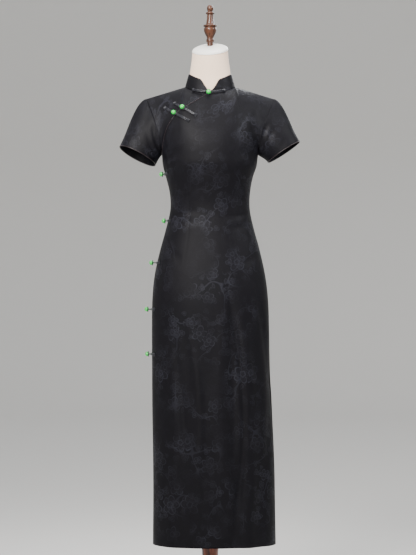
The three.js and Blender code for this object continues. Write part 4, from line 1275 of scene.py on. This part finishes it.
class DRESS_OT_stand(Maker, bpy.types.Operator):
    """Makes the turned pole and the round base"""

    bl_idname = "dress.stand"
    bl_label = "Stand"

    def execute(self, context):
        low, high = box_mm("pole")
        radius = (high[0] - low[0]) / 2
        profile = [(0, low[2]), (19, low[2]), (20, low[2] + 1), (20, 84), (20.4, 92), (22, 108),
                   (22.3, 122), (23.2, 128), (23.4, 132), (22.6, 137), (22.9, 150), (radius, 182),
                   (radius, 240), (radius, 460), (radius, high[2] - 1), (radius - 1, high[2]),
                   (12, high[2]), (0, high[2])]
        make_piece("pole_turned", turned(profile, 72), "pole", "pole", weld=True)
        low, high = box_mm("base")
        edge, top = (high[0] - low[0]) / 2, high[2]
        thick = top - 14
        profile = [(0, 0), (100, 0), (edge - 4, 0), (edge - 1, 0.8), (edge, 3), (edge, 10),
                   (edge - 0.6, 15.5), (edge - 3.4, 17), (edge - 4.4, 18.4), (edge - 4.6, 21),
                   (edge - 8, 24.6), (edge - 15, thick), (edge - 30, thick), (70, thick),
                   (46, thick), (42.5, thick + 1.2), (40.5, thick + 4), (37.8, top - 4),
                   (35.4, top - 1), (32.5, top), (20, top), (0, top)]
        make_piece("base_turned", turned(profile, 128), "base", "base", weld=True)
        return {"FINISHED"}


# ---- Stage ---------------------------------------------------------------------------


FLOOR = {"flat": 7000, "curve": 2000, "wall_top": 5200}
CAMERA = {"x": -0.006, "y": -5.0, "z": 0.934, "half_height": 0.788}  # in metres
WARM, COOL = (1, 0.98, 0.95), (0.95, 0.97, 1)
LAMPS = rows_of(
    "name place target size watts spread tint",
    ("key", (-1.3, -2.6, 3.0), (0, 0, 1.42), 1.4, 22, 56, WARM),
    ("side", (2.3, -1.0, 2.7), (0, 0, 1.4), 0.8, 7, 70, COOL),
    ("fill", (-0.5, -3.6, 1.9), (0, 0, 1.5), 1.6, 6, 44, WARM),
    ("top", (0.2, 0.1, 3.4), (0, 0, 1.4), 1.0, 8, 80, (1, 1, 1)),
    ("rear", (1.2, 3.0, 2.8), (0, 0, 1.2), 1.2, 10, 70, COOL),
)


def aimed_light(name, place, target, size, watts, spread, tint):
    """A soft square lamp at a place in metres, turned to shine at a target through a grid
    that holds its light within so many degrees."""
    lamp = bpy.data.lights.new(name, "AREA")
    lamp.energy, lamp.size, lamp.color = watts, size, tint
    lamp.spread = np.radians(spread)
    holder = bpy.data.objects.new(name, lamp)
    bpy.context.scene.collection.objects.link(holder)
    holder.location = place
    way = Vector(target) - Vector(place)
    holder.rotation_euler = way.to_track_quat("-Z", "Y").to_euler()


class DRESS_OT_stage(Maker, bpy.types.Operator):
    """Makes the floor, the soft lights and the camera"""

    bl_idname = "dress.stage"
    bl_label = "Stage"

    def execute(self, context):
        # The floor is round, and curves up into a plain wall well outside every camera.
        angle = np.linspace(0, np.pi / 2, 16)
        bend = FLOOR["curve"] * np.stack([np.sin(angle[1:]), 1 - np.cos(angle[1:])])
        flat, wall = FLOOR["flat"], FLOOR["flat"] + FLOOR["curve"]
        r = np.concatenate([[300, 3000, flat], flat + bend[0], [wall]])
        z = np.concatenate([[0, 0, 0], bend[1], [FLOOR["wall_top"]]])
        grid = lathed(r, z, np.linspace(0, 2 * np.pi, 97))
        grid = np.concatenate([grid[:1] * 0, grid])
        make_piece("floor", grid_shape(grid), "floor")

        world = bpy.data.worlds.new("studio")
        world.use_nodes = True
        sky = world.node_tree.nodes["Background"].inputs
        sky[0].default_value, sky[1].default_value = (*COOL, 1), 1.0
        bpy.context.scene.world = world
        for lamp in LAMPS:
            aimed_light(**lamp)

        view = bpy.data.cameras.new("camera")
        view.sensor_fit = "VERTICAL"
        view.angle = 2 * np.arctan(CAMERA["half_height"] / -CAMERA["y"])
        camera = bpy.data.objects.new("camera", view)
        camera.location = (CAMERA["x"], CAMERA["y"], CAMERA["z"])
        camera.rotation_euler = (np.pi / 2, 0, 0)
        bpy.context.scene.collection.objects.link(camera)
        bpy.context.scene.camera = camera
        return {"FINISHED"}


class DRESS_PT_panel(bpy.types.Panel):
    """Lists the sizes, the colours and the operators"""

    bl_label = "Cheongsam"
    bl_space_type = "VIEW_3D"
    bl_region_type = "UI"
    bl_category = "Cheongsam"

    def draw(self, context):
        for group in (context.scene.dress_sizes, context.scene.dress_colours):
            for name in group.__annotations__:
                self.layout.prop(group, name)
        for operator in OPERATORS:
            self.layout.operator(operator.bl_idname)


OPERATORS = (
    DRESS_OT_stage, DRESS_OT_form, DRESS_OT_cap, DRESS_OT_stand, DRESS_OT_back, DRESS_OT_underlap,
    DRESS_OT_front, DRESS_OT_sleeves, DRESS_OT_collar, DRESS_OT_opening, DRESS_OT_chest_frogs,
    DRESS_OT_collar_frog, DRESS_OT_side_frogs,
)
CLASSES = (DressSizes, DressColours, *OPERATORS, DRESS_PT_panel)


def register():
    for made in CLASSES:
        bpy.utils.register_class(made)
    bpy.types.Scene.dress_sizes = PointerProperty(type=DressSizes)
    bpy.types.Scene.dress_colours = PointerProperty(type=DressColours)


def unregister():
    del bpy.types.Scene.dress_colours
    del bpy.types.Scene.dress_sizes
    for made in reversed(CLASSES):
        bpy.utils.unregister_class(made)


def main():
    register()
    for operator in OPERATORS:
        group, name = operator.bl_idname.split(".")
        getattr(getattr(bpy.ops, group), name)()


if __name__ == "__main__":
    main()
